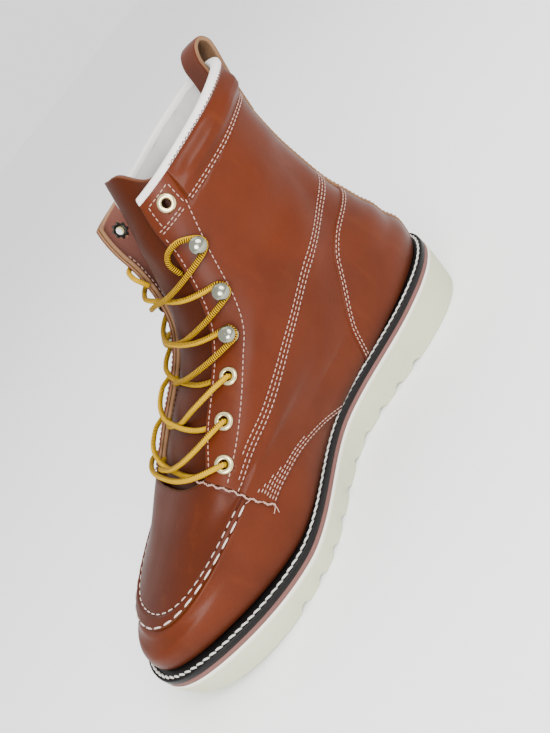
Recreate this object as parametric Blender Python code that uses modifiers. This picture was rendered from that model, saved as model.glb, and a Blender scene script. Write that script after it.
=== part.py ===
"""Right work boot, six inches tall, moc toe, wedge sole and welt, empty and standing on its sole.

+X runs to the toe, +Y to the inner side, +Z up. The origin is under the middle of the sole, on the floor.
The upper is one hollow shell. Its surface is worked out from level curves: each level is a closed curve
round the last, from the feather line above the welt to the collar. The panels are cut from a layer that
lies just outside that same surface, so they follow the last.
"""

import math
from collections import namedtuple

import bmesh
import bpy
import numpy as np
from mathutils import Matrix, Vector

MM = 0.001
WELD = 0.00001

# Driving sizes in millimetres
SOLE_LENGTH = 300.0
TREAD_TUCK = 3.2
TREAD_CHAMFER = 2.0
TIP_TUCK_SHARE = 0.4
TIP_LIP_SHARE = 0.2
SOLE_LIP = 0.9
SOLE_LIP_DROP = 1.2
SOLE_LIP_FOOT = 2.6
SOLE_LIP_STEP = 0.3
TOE_SPRING = 10.0
SPRING_START = 212.0
MIDSOLE_THICK = 3.7
WELT_THICK = 3.7
WELT_INNER_INSET = 14.0
WELT_CUT = 14.0
SOLE_STATIONS = 25
WELT_HOLE_STATIONS = 19
TIP_REACH = 1.0
MIDSOLE_INSET = 0.6
WELT_INSET = 0.2
INSOLE_THICK = 3.5
INSOLE_INSET = 3.9
INSOLE_CHAMFER = 0.5
WALL = 2.2
SEAT_GAP = 0.3
EDGE_GAP = 0.4
FASTENING_GAP = 1.0
QUARTER_THICK = 1.6
LOWER_QUARTER_THICK = 1.2
COUNTER_THICK = 1.5
COLLAR_THICK = 3.0
APRON_THICK = 1.7
BACKSTAY_THICK = 1.8
BACKSTAY_HALF_WIDTH = 10.5
BACKSTAY_REACH = 50.0
PANEL_LINE_STEPS = 3
COLLAR_FRONT_X = 92.0
TONGUE_THICK = 2.4
TONGUE_CLEARANCE = 0.5
LACE_RADIUS = 1.9
EYELET_INSET = 13.6
INSET_SEARCH_TURN = 0.4
INSET_SEARCH_STEPS = 91
EYELET_HOLE_RADIUS = 2.4
EYELET_BARREL_RADIUS = 3.0
EYELET_FLANGE_RADIUS = 5.0
EYELET_FLANGE_THICK = 0.9
EYELET_FLANGE_TAPER = 1.2
EYELET_DEPTH = 4.2
HOOK_BASE_RADIUS = 4.2
HOOK_HEAD_RADIUS = 4.6
HOOK_HEIGHT = 8.4
HOOK_CROWN_RADIUS = 2.8
HOOK_CROWN_DROP = 0.5
HOOK_RIM_DROP = 2.2
HOOK_HEAD_THICK = 3.0
HOOK_NECK_RADIUS = 1.6
HOOK_NECK_FOOT = 1.0
HOOK_BASE_THICK = 0.6
PUNCH_DEPTH = 16.0
TURNED_STEPS = 8
GROOVE_PITCH = 17.0
GROOVE_COUNT = 10
GROOVE_START = 74.0
GROOVE_WIDTH = 8.0
GROOVE_DEPTH = 2.6
HEEL_STATIONS = 11
TOE_STATIONS = 12

# Shape of one groove: share of its width against share of its depth
Groove = namedtuple("Groove", "along deep")
GROOVE_SHAPE = (Groove(0.0, 0.0), Groove(0.28, 1.0), Groove(0.62, 0.9), Groove(1.0, 0.0))

# Outline of the sole seen from above: half widths at heel, waist and ball on the inner and outer side
Outline = namedtuple(
    "Outline", "heel waist_in waist_out ball_in ball_out toe_in back_end front_start front_power"
)
SOLE_OUTLINE = Outline(39.0, 28.5, 37.0, 54.0, 56.0, 5.0, 0.17, 0.68, 2.2)

# Height of the white sole's top: at the heel's back, at the toe's tip, and how far it dips at the ball
Rise = namedtuple("Rise", "back front sag")
SOLE_TOP = Rise(28.0, 23.4, 11.3)

# Levels of the upper. back and front are the ends of each closed curve on the boot's middle plane, sag is
# its dip at the ball, and the other columns are the same half widths and roundings as the sole's.
Level = namedtuple(
    "Level",
    "name back_x back_z front_x front_z sag heel waist_in waist_out ball_in ball_out toe_in"
    " back_end front_start front_power",
)
LEVELS = (
    Level("feather", 6.0, 36.4, 292.0, 31.9, 11.3, 31.5, 26.0, 32.0, 46.0, 49.0, 5.0, 0.19, 0.66, 2.10),
    Level("bulge", 3.0, 49.5, 293.0, 43.0, 9.0, 34.0, 31.0, 35.0, 48.8, 51.0, 5.0, 0.19, 0.66, 2.15),
    Level("moc seam", 7.0, 60.7, 280.5, 50.3, -7.7, 34.0, 36.0, 38.0, 46.2, 47.0, 4.6, 0.19, 0.66, 2.28),
    Level("apron", 8.4, 70.0, 247.0, 64.0, -1.5, 33.5, 38.5, 39.5, 44.6, 45.0, 4.2, 0.21, 0.66, 2.40),
    Level("throat base", 11.7, 79.0, 218.0, 76.5, 0.0, 33.0, 39.5, 40.0, 44.0, 44.0, 2.0, 0.24, 0.68, 2.90),
    Level("low eyelets", 14.5, 90.3, 193.0, 89.8, 0.0, 32.5, 40.0, 40.5, 42.3, 43.0, 1.0, 0.28, 0.66, 2.60),
    Level("instep", 18.5, 105.0, 157.5, 106.5, 0.0, 32.5, 40.0, 40.5, 41.5, 42.0, 0.0, 0.33, 0.62, 2.45),
    Level("ankle", 20.3, 124.5, 138.0, 124.0, 0.0, 33.0, 38.0, 38.5, 38.2, 38.0, 0.0, 0.40, 0.58, 2.65),
    Level("hooks", 21.0, 147.5, 124.0, 150.0, 0.0, 33.5, 36.0, 36.0, 34.9, 35.0, 0.0, 0.45, 0.55, 2.70),
    Level("cuff line", 19.0, 168.5, 117.5, 168.0, 0.0, 34.0, 35.5, 35.5, 33.8, 33.5, 0.0, 0.47, 0.54, 2.25),
    Level("collar", 12.5, 194.5, 111.0, 183.0, 0.0, 34.0, 35.5, 35.5, 33.2, 33.0, 0.0, 0.48, 0.53, 2.15),
    Level("tongue top", 9.0, 215.0, 104.0, 201.0, 0.0, 34.0, 35.0, 35.0, 32.0, 32.0, 0.0, 0.48, 0.53, 2.15),
)
LEVEL_TABLE = np.array([row[1:] for row in LEVELS])
MOC_LEVEL = 2.0
THROAT_LEVEL = 3.7
PANEL_FOOT_LEVEL = 0.15

# Shares along a level from the heel's back to the toe's tip where the half widths hold
HEEL_SHARE = 0.18
WAIST_SHARE = 0.42
BALL_SHARE = 0.70
DIP_SHARE = 0.68
BEND_SHARE = 0.40
BACK_POWER = 2.2
END_SHARE = 0.0006
SLOPE_STEP = 0.004
GRID_TOLERANCE = 0.001

# The outer flap stands open at its top front corner: how far out and ahead, over which levels and turns
Flap = namedtuple("Flap", "out ahead low_level high_level start full hold end")
OUTER_FLAP = Flap(19.0, 8.0, 6.6, 10.0, 0.50, 0.84, 0.88, 1.0)

# Steps round one side of a level, from heel back at 0 to front at 1, and the levels that carry points
THROAT_EDGE = 0.85
ROUND_STEPS = (
    0.0, 0.06, 0.125, 0.195, 0.27, 0.35, 0.435, 0.52, 0.60, 0.67, 0.73, 0.79, THROAT_EDGE, 0.90, 0.95, 1.0,
)
UPPER_LEVELS = (
    0.0, PANEL_FOOT_LEVEL, 0.7, 1.3, MOC_LEVEL, 2.5, 3.1, THROAT_LEVEL, 4.4, 5.2, 6.1, 7.1, 8.1, 9.1, 10.0,
)
TONGUE_STEPS = (0.73, 0.79, THROAT_EDGE, 0.90, 0.95, 1.0)
TONGUE_LEVELS = (3.1, 3.4, THROAT_LEVEL, 4.4, 5.2, 6.1, 7.1, 8.1, 9.1, 10.0, 10.7)

# Fastenings up the front edge, by level; the top one is left empty
Fastening = namedtuple("Fastening", "name level kind")
FASTENINGS = (
    Fastening("eyelet_top", 9.31, "eyelet"),
    Fastening("hook_upper", 7.97, "hook"),
    Fastening("hook_middle", 7.08, "hook"),
    Fastening("hook_lower", 6.17, "hook"),
    Fastening("eyelet_upper", 5.54, "eyelet"),
    Fastening("eyelet_middle", 4.90, "eyelet"),
    Fastening("eyelet_lower", 4.07, "eyelet"),
)
SIDES = (("inner", 1.0), ("outer", -1.0))

# Lace: heights of its middle line above the upper's surface, and how it reaches hooks and edges
LACE_STEPS = 8
LACE_END_STEPS = 3
LACE_TOP_HEIGHT = SEAT_GAP + QUARTER_THICK + FASTENING_GAP + EYELET_FLANGE_THICK + SEAT_GAP + LACE_RADIUS
LACE_LOW_HEIGHT = 0.6
LACE_LEVEL_SHARE = 0.23
HOOK_PASS_LEVEL = 0.17
EDGE_RISE_LEVEL = 0.18
EDGE_INSET_TURN = 0.025

# Each end leaves the top hook, turns over the tongue and goes back behind the front edge. across is a share
# of the hook's own place from the middle line, level is counted from the hook's level.
LaceEnd = namedtuple("LaceEnd", "across level height")
LACE_END = (
    LaceEnd(1.00, 0.19, LACE_TOP_HEIGHT),
    LaceEnd(0.80, 0.37, LACE_TOP_HEIGHT),
    LaceEnd(0.56, 0.33, 4.6),
    LaceEnd(0.43, 0.10, 3.0),
    LaceEnd(0.46, -0.17, -0.3),
)

# Panel edges seen from the side, as (x, z) points of smooth lines
QUARTER_SEAM = ((-12.0, 110.0), (15.0, 108.0), (44.0, 103.0), (77.0, 96.0), (113.0, 85.0), (155.0, 74.0),
                (180.0, 70.0), (200.8, 64.0))
COUNTER_LINE = ((-12.0, 96.0), (18.0, 95.5), (45.0, 93.0), (61.5, 87.0), (72.0, 77.5), (89.0, 55.0),
                (96.5, 31.0), (99.0, 12.0))
WING_LINE = ((196.5, 47.0), (184.0, 47.0), (166.0, 44.5), (146.0, 37.0), (127.0, 27.0), (120.0, 12.0))
QUARTER_FRONT = ((196.5, 47.0), (200.8, 61.0), (201.5, 68.0), (205.0, 80.0))
COLLAR_LINE = ((-12.0, 176.0), (38.0, 171.0), (68.0, 167.0), (115.0, 163.0))
BEHIND = -12.0
FAR_BELOW = 12.0
FAR_ABOVE = 230.0
FAR_ASIDE = 90.0
FAR_AHEAD = 320.0

# Pull loop: middle line of the strip behind the heel, over the top and down inside, as (x, z)
LOOP_PATH = ((18.2, 163.0), (15.8, 176.0), (12.0, 188.0), (7.6, 198.0), (6.4, 203.0), (9.2, 207.0),
             (13.8, 205.6), (17.4, 200.0), (19.2, 191.0), (22.0, 180.0))
LOOP_THICK = 1.5
LOOP_HALF_WIDTH = 9.5

Finish = namedtuple("Finish", "colour roughness metallic")
LEATHER = Finish((0.26, 0.075, 0.028), 0.38, 0.0)
LEATHER_DARK = Finish((0.19, 0.05, 0.02), 0.42, 0.0)
SOLE_CREAM = Finish((0.74, 0.73, 0.60), 0.6, 0.0)
MIDSOLE_BROWN = Finish((0.27, 0.13, 0.11), 0.6, 0.0)
WELT_BLACK = Finish((0.018, 0.015, 0.015), 0.5, 0.0)
LINING = Finish((0.66, 0.63, 0.60), 0.8, 0.0)
METAL = Finish((0.72, 0.68, 0.50), 0.3, 1.0)
LACE_YELLOW = Finish((0.80, 0.52, 0.03), 0.7, 0.0)


def smooth(x):
    """Smooth step from 0 to 1."""
    x = np.clip(x, 0.0, 1.0)
    return x * x * (3.0 - 2.0 * x)


def dip(share):
    """Curve that is 0 at the heel's back and the toe's tip and 1 at the ball."""
    before = smooth(share / DIP_SHARE)
    after = 1.0 - smooth((share - DIP_SHARE) / (1.0 - DIP_SHARE))
    return np.where(share < DIP_SHARE, before, after)


def half_width(share, heel, waist, ball, back_end, front_start, front_power):
    """Half width of a level: heel, waist and ball joined smoothly, with both ends rounded."""
    across = heel + (waist - heel) * smooth((share - HEEL_SHARE) / (WAIST_SHARE - HEEL_SHARE))
    across = across + (ball - waist) * smooth((share - WAIST_SHARE) / (BALL_SHARE - WAIST_SHARE))
    back = np.clip(1.0 - share / back_end, 0.0, 1.0)
    front = np.clip((share - front_start) / (1.0 - front_start), 0.0, 1.0)
    back_round = (1.0 - back ** BACK_POWER) ** (1.0 / BACK_POWER)
    front_round = (1.0 - front ** front_power) ** (1.0 / front_power)
    return across * back_round * front_round


def bend(share, toe_in):
    """Sideways bend of the middle line towards the inner side at the toe."""
    return toe_in * np.clip((share - BEND_SHARE) / (1.0 - BEND_SHARE), 0.0, 1.0) ** 2


def side_of_outline(share, side, outline):
    """Y of the sole's outline at a share of its length, side +1 for the inner side."""
    waist = outline.waist_in if side > 0 else outline.waist_out
    ball = outline.ball_in if side > 0 else outline.ball_out
    width = half_width(
        share, outline.heel, waist, ball, outline.back_end, outline.front_start, outline.front_power
    )
    return side * width + bend(share, outline.toe_in)


def rise(share, line):
    """Height of a line along the sole."""
    return line.back + (line.front - line.back) * share - line.sag * dip(share)


OUTLINE_STEPS = 241
OUTLINE_SHARES = (1.0 - np.cos(np.linspace(0.0, np.pi, OUTLINE_STEPS))) / 2.0
OUTLINE_INNER = side_of_outline(OUTLINE_SHARES, 1.0, SOLE_OUTLINE)
OUTLINE_OUTER = side_of_outline(OUTLINE_SHARES, -1.0, SOLE_OUTLINE)
ORIGIN = np.array([SOLE_LENGTH / 2.0, (OUTLINE_INNER.max() + OUTLINE_OUTER.min()) / 2.0, 0.0])


def to_frame(points):
    """Millimetres from the heel's back to metres in the boot's frame."""
    return (np.asarray(points, float) - ORIGIN) * MM


def level_columns(level):
    """Table columns at a level, by a smooth curve through the rows."""
    level = np.asarray(level, float)
    last = len(LEVEL_TABLE) - 1
    row = np.clip(np.floor(level).astype(int), 0, last - 1)
    part = (level - row)[..., None]
    before = LEVEL_TABLE[np.maximum(row - 1, 0)]
    low = LEVEL_TABLE[row]
    high = LEVEL_TABLE[row + 1]
    after = LEVEL_TABLE[np.minimum(row + 2, last)]
    value = 2.0 * low + (high - before) * part
    value = value + (2.0 * before - 5.0 * low + 4.0 * high - after) * part ** 2
    value = value + (3.0 * low - before - 3.0 * high + after) * part ** 3
    return np.moveaxis(value / 2.0, -1, 0)


def flap_opening(turn, level):
    """How far the outer flap stands open, 0 to 1, greatest at its top front corner."""
    flap = OUTER_FLAP
    up = smooth((level - flap.low_level) / (flap.high_level - flap.low_level))
    ahead = smooth((np.abs(turn) - flap.start) / (flap.full - flap.start))
    fade = 1.0 - smooth((np.abs(turn) - flap.hold) / (flap.end - flap.hold))
    return np.where(turn < 0.0, up * ahead * fade, 0.0)


def wrapped(turn, level):
    """Turn and level as arrays of one shape, with the turn passing from +1 to -1 at the front."""
    turn, level = np.broadcast_arrays(np.asarray(turn, float), np.asarray(level, float))
    return (turn + 1.0) % 2.0 - 1.0, level


def laced_surface(turn, level):
    """Point of the last's surface with both flaps closed. turn goes from 0 at the heel's back to +1 or -1 at
    the front, positive on the inner side; level goes up from the feather line."""
    turn, level = wrapped(turn, level)
    columns = level_columns(level)
    back_x, back_z, front_x, front_z, sag, heel = columns[:6]
    waist_in, waist_out, ball_in, ball_out, toe_in = columns[6:11]
    back_end, front_start, front_power = columns[11:14]
    inner = turn >= 0.0
    share = (1.0 - np.cos(np.pi * np.abs(turn))) / 2.0
    waist = np.where(inner, waist_in, waist_out)
    ball = np.where(inner, ball_in, ball_out)
    width = half_width(share, heel, waist, ball, back_end, front_start, front_power)
    x = back_x + (front_x - back_x) * share
    y = np.where(inner, width, -width) + bend(share, toe_in)
    z = back_z + (front_z - back_z) * share - sag * dip(share)
    return np.stack([x, y, z], axis=-1)


def surface(turn, level):
    """Point of the upper's outer surface: the laced form with the outer flap standing open."""
    turn, level = wrapped(turn, level)
    open_by = flap_opening(turn, level)[..., None]
    return laced_surface(turn, level) + open_by * np.array([OUTER_FLAP.ahead, -OUTER_FLAP.out, 0.0])


def normal(turn, level, form=surface):
    """Outward unit normal of a form."""
    along = form(turn + SLOPE_STEP, level) - form(turn - SLOPE_STEP, level)
    up = form(turn, level + SLOPE_STEP) - form(turn, level - SLOPE_STEP)
    across = np.cross(up, along)
    return across / np.linalg.norm(across, axis=-1, keepdims=True)


def offset_surface(turn, level, distance, form=surface):
    """Point at a distance outside a form, along its normal."""
    return form(turn, level) + np.asarray(distance, float)[..., None] * normal(turn, level, form)


def new_material(name, finish):
    material = bpy.data.materials.new(name)
    material.use_nodes = True
    shader = material.node_tree.nodes["Principled BSDF"]
    shader.inputs["Base Color"].default_value = (*finish.colour, 1.0)
    shader.inputs["Roughness"].default_value = finish.roughness
    shader.inputs["Metallic"].default_value = finish.metallic
    return material


def add_object(name, mesh, finish, collection):
    """Named object with its own material."""
    mesh.name = name
    mesh.materials.clear()
    mesh.materials.append(new_material(name, finish))
    made = bpy.data.objects.new(name, mesh)
    collection.objects.link(made)
    return made


def add_cutter(name, mesh):
    """Hidden helper object."""
    made = bpy.data.objects.new(name, mesh)
    cutters.objects.link(made)
    made.hide_render = True
    made.display_type = "WIRE"
    return made


def make_cutter(helper):
    """Turns a part's object into a hidden helper."""
    boot.objects.unlink(helper)
    cutters.objects.link(helper)
    helper.hide_render = True
    helper.display_type = "WIRE"


def mesh_of(name, points, faces):
    mesh = bpy.data.meshes.new(name)
    mesh.from_pydata([tuple(point) for point in points], [], faces)
    mesh.update()
    return mesh


def face_outwards(mesh):
    """Points a closed mesh's faces outwards."""
    work = bmesh.new()
    work.from_mesh(mesh)
    bmesh.ops.recalc_face_normals(work, faces=work.faces)
    work.to_mesh(mesh)
    work.free()


def loft(name, rings):
    """Closed solid through rings of equal count, capped at both ends."""
    rings = np.asarray(rings)
    count, around = rings.shape[:2]
    faces = []
    for i in range(count - 1):
        for j in range(around):
            k = (j + 1) % around
            faces.append((i * around + j, i * around + k, (i + 1) * around + k, (i + 1) * around + j))
    faces.append(tuple(range(around)))
    faces.append(tuple((count - 1) * around + j for j in range(around)))
    mesh = mesh_of(name, to_frame(rings.reshape(-1, 3)), faces)
    face_outwards(mesh)
    return mesh


def sheet_mesh(name, points, keep=None, closed=False):
    """Open sheet over a grid of points; keep(i, j) drops cells, closed joins the last column to the first."""
    rows, columns = points.shape[:2]
    faces = []
    for i in range(rows - 1):
        for j in range(columns if closed else columns - 1):
            k = (j + 1) % columns
            if keep is None or keep(i, j):
                low, high = i * columns, (i + 1) * columns
                faces.append((low + j, high + j, high + k))
                faces.append((low + j, high + k, low + k))
    mesh = mesh_of(name, to_frame(points.reshape(-1, 3)), faces)
    work = bmesh.new()
    work.from_mesh(mesh)
    bmesh.ops.delete(work, geom=[v for v in work.verts if not v.link_faces], context="VERTS")
    work.to_mesh(mesh)
    work.free()
    return mesh


def solidify(target, thickness, offset):
    modifier = target.modifiers.new("wall", "SOLIDIFY")
    modifier.thickness = thickness * MM
    modifier.offset = offset
    modifier.use_even_offset = False


def round_turns():
    """Turns once round a level: back, inner side, front, outer side."""
    inner = list(ROUND_STEPS)
    return np.array(inner + [-step for step in reversed(inner[1:-1])])


def is_throat(turns, levels, i, j):
    """True for a cell that lies in the throat opening."""
    k = (j + 1) % len(turns)
    in_front = min(abs(turns[j]), abs(turns[k])) > THROAT_EDGE - GRID_TOLERANCE
    return in_front and levels[i] >= THROAT_LEVEL - GRID_TOLERANCE


def wall_sheet(name, levels, distance):
    """Sheet of the upper's surface, open at the throat, at a distance outside it."""
    turns = round_turns()
    points = offset_surface(turns[None, :], np.array(levels)[:, None], distance)
    return sheet_mesh(name, points, lambda i, j: not is_throat(turns, levels, i, j), closed=True)


def smooth_line(points, per_span):
    """Points along a smooth curve through the given ones."""
    points = np.array(points, float)
    ends = np.vstack([2 * points[0] - points[1], points, 2 * points[-1] - points[-2]])
    part = np.linspace(0.0, 1.0, per_span, endpoint=False)[:, None]
    spans = []
    for a, b, c, d in zip(ends, ends[1:], ends[2:], ends[3:]):
        curve = 2 * b + (c - a) * part + (2 * a - 5 * b + 4 * c - d) * part ** 2
        spans.append((curve + (3 * b - a - 3 * c + d) * part ** 3) / 2)
    return np.vstack(spans + [points[-1:]])


def side_prism(name, outline, low_y, high_y):
    """Cutter: an outline of (x, z) points carried across from low_y to high_y."""
    outline = np.asarray(outline, float)
    rings = [
        np.stack([outline[:, 0], np.full(len(outline), y), outline[:, 1]], axis=-1) for y in (low_y, high_y)
    ]
    return add_cutter(name, loft(name, rings))


def cut(target, cutter, operation):
    modifier = target.modifiers.new(cutter.name, "BOOLEAN")
    modifier.operation = operation
    modifier.solver = "EXACT"
    modifier.object = cutter


def panel(name, outline, sides, thickness, levels=UPPER_LEVELS, finish=LEATHER):
    """Panel of the upper: a layer just outside its surface, cut to an outline seen from the side."""
    levels = tuple(level for level in levels if level >= PANEL_FOOT_LEVEL)
    made = add_object(name, wall_sheet(name, levels, SEAT_GAP), finish, boot)
    solidify(made, thickness, 1.0)
    cut(made, side_prism(name + "_cutter", outline, *sides), "INTERSECT")
    return made


def shift(line, dz):
    """Line moved up or down."""
    return line + np.array([0.0, dz])


def plate(name, outline, inset, low, high, finish, shares):
    """Flat-sided layer of the sole between two height lines, inside the outline by an inset."""
    rings = []
    for share in shares:
        inner = side_of_outline(share, 1.0, outline)
        outer = side_of_outline(share, -1.0, outline)
        middle = (inner + outer) / 2.0
        reach = max((inner - outer) / 2.0 - inset, TIP_REACH)
        x = inset + share * (SOLE_LENGTH - 2 * inset)
        bottom = rise(share, low)
        top = rise(share, high)
        rings.append([
            (x, middle - reach, bottom), (x, middle + reach, bottom),
            (x, middle + reach, top), (x, middle - reach, top),
        ])
    return add_object(name, loft(name, rings), finish, boot)


def raised(line, by):
    """Height line moved up."""
    return Rise(line.back + by, line.front + by, line.sag)


def plate_shares(count):
    """Shares along the sole, closer together at the rounded ends."""
    shares = (1.0 - np.cos(np.linspace(0.0, np.pi, count))) / 2.0
    return np.clip(shares, END_SHARE, 1.0 - END_SHARE)


def tread_height(x):
    """Height of the tread: flat under heel and ball, rising to the toe."""
    return TOE_SPRING * np.clip((x - SPRING_START) / (SOLE_LENGTH - SPRING_START), 0.0, 1.0) ** 2


def end_stations(start, end, count):
    """Places along the sole between two distances, closer together towards its rounded end."""
    first = math.acos(1.0 - 2.0 * start / SOLE_LENGTH)
    last = math.acos(1.0 - 2.0 * end / SOLE_LENGTH)
    return SOLE_LENGTH * (1.0 - np.cos(np.linspace(first, last, count))) / 2.0


def outsole():
    """Wedge sole: tapered sides with a lip at the top, toe spring, and grooves that notch both sides."""
    starts = GROOVE_START + GROOVE_PITCH * np.arange(GROOVE_COUNT)
    groove_x = np.array([start + row.along * GROOVE_WIDTH for start in starts for row in GROOVE_SHAPE])
    groove_deep = np.tile([row.deep for row in GROOVE_SHAPE], GROOVE_COUNT)
    tip = END_SHARE * SOLE_LENGTH
    heel = end_stations(tip, GROOVE_START, HEEL_STATIONS)[:-1]
    toe = end_stations(groove_x[-1], SOLE_LENGTH - tip, TOE_STATIONS)[1:]
    rings = []
    for x in np.concatenate([heel, groove_x, toe]):
        share = x / SOLE_LENGTH
        inner = side_of_outline(share, 1.0, SOLE_OUTLINE)
        outer = side_of_outline(share, -1.0, SOLE_OUTLINE)
        middle = (inner + outer) / 2.0
        half = (inner - outer) / 2.0
        top = rise(share, SOLE_TOP)
        low = tread_height(x) + GROOVE_DEPTH * np.interp(x, groove_x, groove_deep, 0.0, 0.0)
        tuck = min(TREAD_TUCK, TIP_TUCK_SHARE * half)
        lip = min(SOLE_LIP, TIP_LIP_SHARE * half)
        profile = (
            (half - lip, top), (half, top - SOLE_LIP_DROP), (half - SOLE_LIP_STEP, top - SOLE_LIP_FOOT),
            (half - tuck, low + TREAD_CHAMFER), (half - tuck - lip, low),
        )
        near = [(x, middle + y, z) for y, z in profile]
        far = [(x, middle - y, z) for y, z in reversed(profile)]
        rings.append(near + far)
    return add_object("outsole", loft("outsole", rings), SOLE_CREAM, boot)


def welt():
    """Ring of welt round the sole's edge, wide enough inside to carry the upper and the insole."""
    bottom = raised(SOLE_TOP, MIDSOLE_THICK + 2 * SEAT_GAP)
    made = plate("welt", SOLE_OUTLINE, WELT_INSET, bottom, raised(bottom, WELT_THICK), WELT_BLACK,
                 plate_shares(SOLE_STATIONS))
    hole = plate("welt_hole", SOLE_OUTLINE, WELT_INNER_INSET, raised(bottom, -WELT_CUT),
                 raised(bottom, WELT_CUT), WELT_BLACK, plate_shares(WELT_HOLE_STATIONS))
    make_cutter(hole)
    cut(made, hole, "DIFFERENCE")
    return made


def insole():
    """Insole on the welt's inner edge, inside the upper's wall."""
    rings = []
    shares = plate_shares(WELT_HOLE_STATIONS)
    turns = np.arccos(1.0 - 2.0 * shares) / np.pi
    foot = level_columns(0.0)
    low_line = Rise(foot[1], foot[3], foot[4])
    for share, turn in zip(shares, turns):
        inner = surface(turn, 0.0)
        outer = surface(-turn, 0.0)
        middle = (inner[1] + outer[1]) / 2.0
        reach = max((inner[1] - outer[1]) / 2.0 - INSOLE_INSET, TIP_REACH)
        x = foot[0] + INSOLE_INSET + share * (foot[2] - foot[0] - 2 * INSOLE_INSET)
        low = rise(share, low_line)
        rings.append([
            (x, middle - reach, low), (x, middle + reach, low),
            (x, middle + reach - INSOLE_CHAMFER, low + INSOLE_THICK),
            (x, middle - reach + INSOLE_CHAMFER, low + INSOLE_THICK),
        ])
    return add_object("insole", loft("insole", rings), LINING, boot)


def upper():
    """Hollow upper: one wall, open at the collar, down the throat and underneath."""
    made = add_object("upper", wall_sheet("upper", UPPER_LEVELS, 0.0), LEATHER, boot)
    solidify(made, WALL, -1.0)
    return made


def tongue():
    """Tongue behind the throat, tucked under the apron and behind both edges."""
    steps = list(TONGUE_STEPS)
    turns = np.array(steps + [-step for step in reversed(steps[:-1])])
    distance = -WALL - TONGUE_CLEARANCE
    points = offset_surface(turns[None, :], np.array(TONGUE_LEVELS)[:, None], distance, laced_surface)
    made = add_object("tongue", sheet_mesh("tongue", points), LEATHER_DARK, boot)
    solidify(made, TONGUE_THICK, -1.0)
    return made


def panels():
    """Quarters, lower quarters, counters, collar halves, apron and backstay."""
    seam = smooth_line(QUARTER_SEAM, PANEL_LINE_STEPS)
    counter_line = smooth_line(COUNTER_LINE, PANEL_LINE_STEPS)
    wing = smooth_line(WING_LINE, PANEL_LINE_STEPS)
    front = smooth_line(QUARTER_FRONT, PANEL_LINE_STEPS)
    cuff = smooth_line(COLLAR_LINE, PANEL_LINE_STEPS)
    cuff = cuff[cuff[:, 0] < COLLAR_FRONT_X]
    behind_collar = COLLAR_FRONT_X + EDGE_GAP
    quarter = np.vstack([
        seam, front[front[:, 1] > seam[-1, 1] + 1.0],
        [(FAR_AHEAD, front[-1, 1]), (FAR_AHEAD, FAR_ABOVE), (behind_collar, FAR_ABOVE)],
        [(behind_collar, cuff[-1, 1] - EDGE_GAP)], shift(cuff[::-1], -EDGE_GAP),
    ])
    lower = np.vstack([shift(seam, -EDGE_GAP), wing, shift(counter_line[::-1], EDGE_GAP)])
    counter = np.vstack([counter_line, [(BEHIND, FAR_BELOW)]])
    collar = np.vstack([
        cuff, [(COLLAR_FRONT_X, cuff[-1, 1]), (COLLAR_FRONT_X, FAR_ABOVE), (BEHIND, FAR_ABOVE)],
    ])
    beside = BACKSTAY_HALF_WIDTH + EDGE_GAP
    for side_name, side in SIDES:
        reach = (beside, FAR_ASIDE) if side > 0 else (-FAR_ASIDE, -beside)
        panel("quarter_" + side_name, quarter, reach, QUARTER_THICK)
        panel("lower_quarter_" + side_name, lower, reach, LOWER_QUARTER_THICK)
        panel("counter_" + side_name, counter, reach, COUNTER_THICK)
        panel("collar_" + side_name, collar, reach, COLLAR_THICK)
    ahead = front + np.array([EDGE_GAP, 0.0])
    apron = np.vstack([ahead, [(FAR_AHEAD, ahead[-1, 1]), (FAR_AHEAD, ahead[0, 1])]])
    apron_levels = tuple(level for level in UPPER_LEVELS if MOC_LEVEL <= level <= THROAT_LEVEL)
    panel("apron", apron, (-FAR_ASIDE, FAR_ASIDE), APRON_THICK, apron_levels)
    foot_of_loop = LOOP_PATH[0][1] - EDGE_GAP
    strip = [
        (BEHIND, FAR_BELOW), (BACKSTAY_REACH, FAR_BELOW),
        (BACKSTAY_REACH, foot_of_loop), (BEHIND, foot_of_loop),
    ]
    panel("backstay", strip, (-BACKSTAY_HALF_WIDTH, BACKSTAY_HALF_WIDTH), BACKSTAY_THICK)


def pull_loop():
    """Strip that rises behind the heel, turns over and comes down inside the collar."""
    path = smooth_line(LOOP_PATH, PANEL_LINE_STEPS)
    ahead = np.gradient(path, axis=0)
    ahead /= np.linalg.norm(ahead, axis=1, keepdims=True)
    side = np.stack([ahead[:, 1], -ahead[:, 0]], axis=-1) * LOOP_THICK / 2.0
    rings = []
    for (x, z), (dx, dz) in zip(path, side):
        rings.append([
            (x - dx, -LOOP_HALF_WIDTH, z - dz), (x + dx, -LOOP_HALF_WIDTH, z + dz),
            (x + dx, LOOP_HALF_WIDTH, z + dz), (x - dx, LOOP_HALF_WIDTH, z - dz),
        ])
    return add_object("pull_loop", loft("pull_loop", rings), LEATHER, boot)


def inset_turn(level, side, distance):
    """Turn that lies a distance behind the throat's edge, measured round the level."""
    turns = np.linspace(THROAT_EDGE, INSET_SEARCH_TURN, INSET_SEARCH_STEPS) * side
    path = surface(turns, level)
    run = np.concatenate([[0.0], np.cumsum(np.linalg.norm(np.diff(path, axis=0), axis=1))])
    return float(np.interp(distance, run, turns))


def seat_matrix(turn, level, distance):
    """Frame on the upper with its Z along the outward normal."""
    place = to_frame(offset_surface(turn, level, distance))
    up = Vector(normal(turn, level))
    return Matrix.Translation(Vector(place)) @ up.to_track_quat("Z", "Y").to_matrix().to_4x4()


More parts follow.
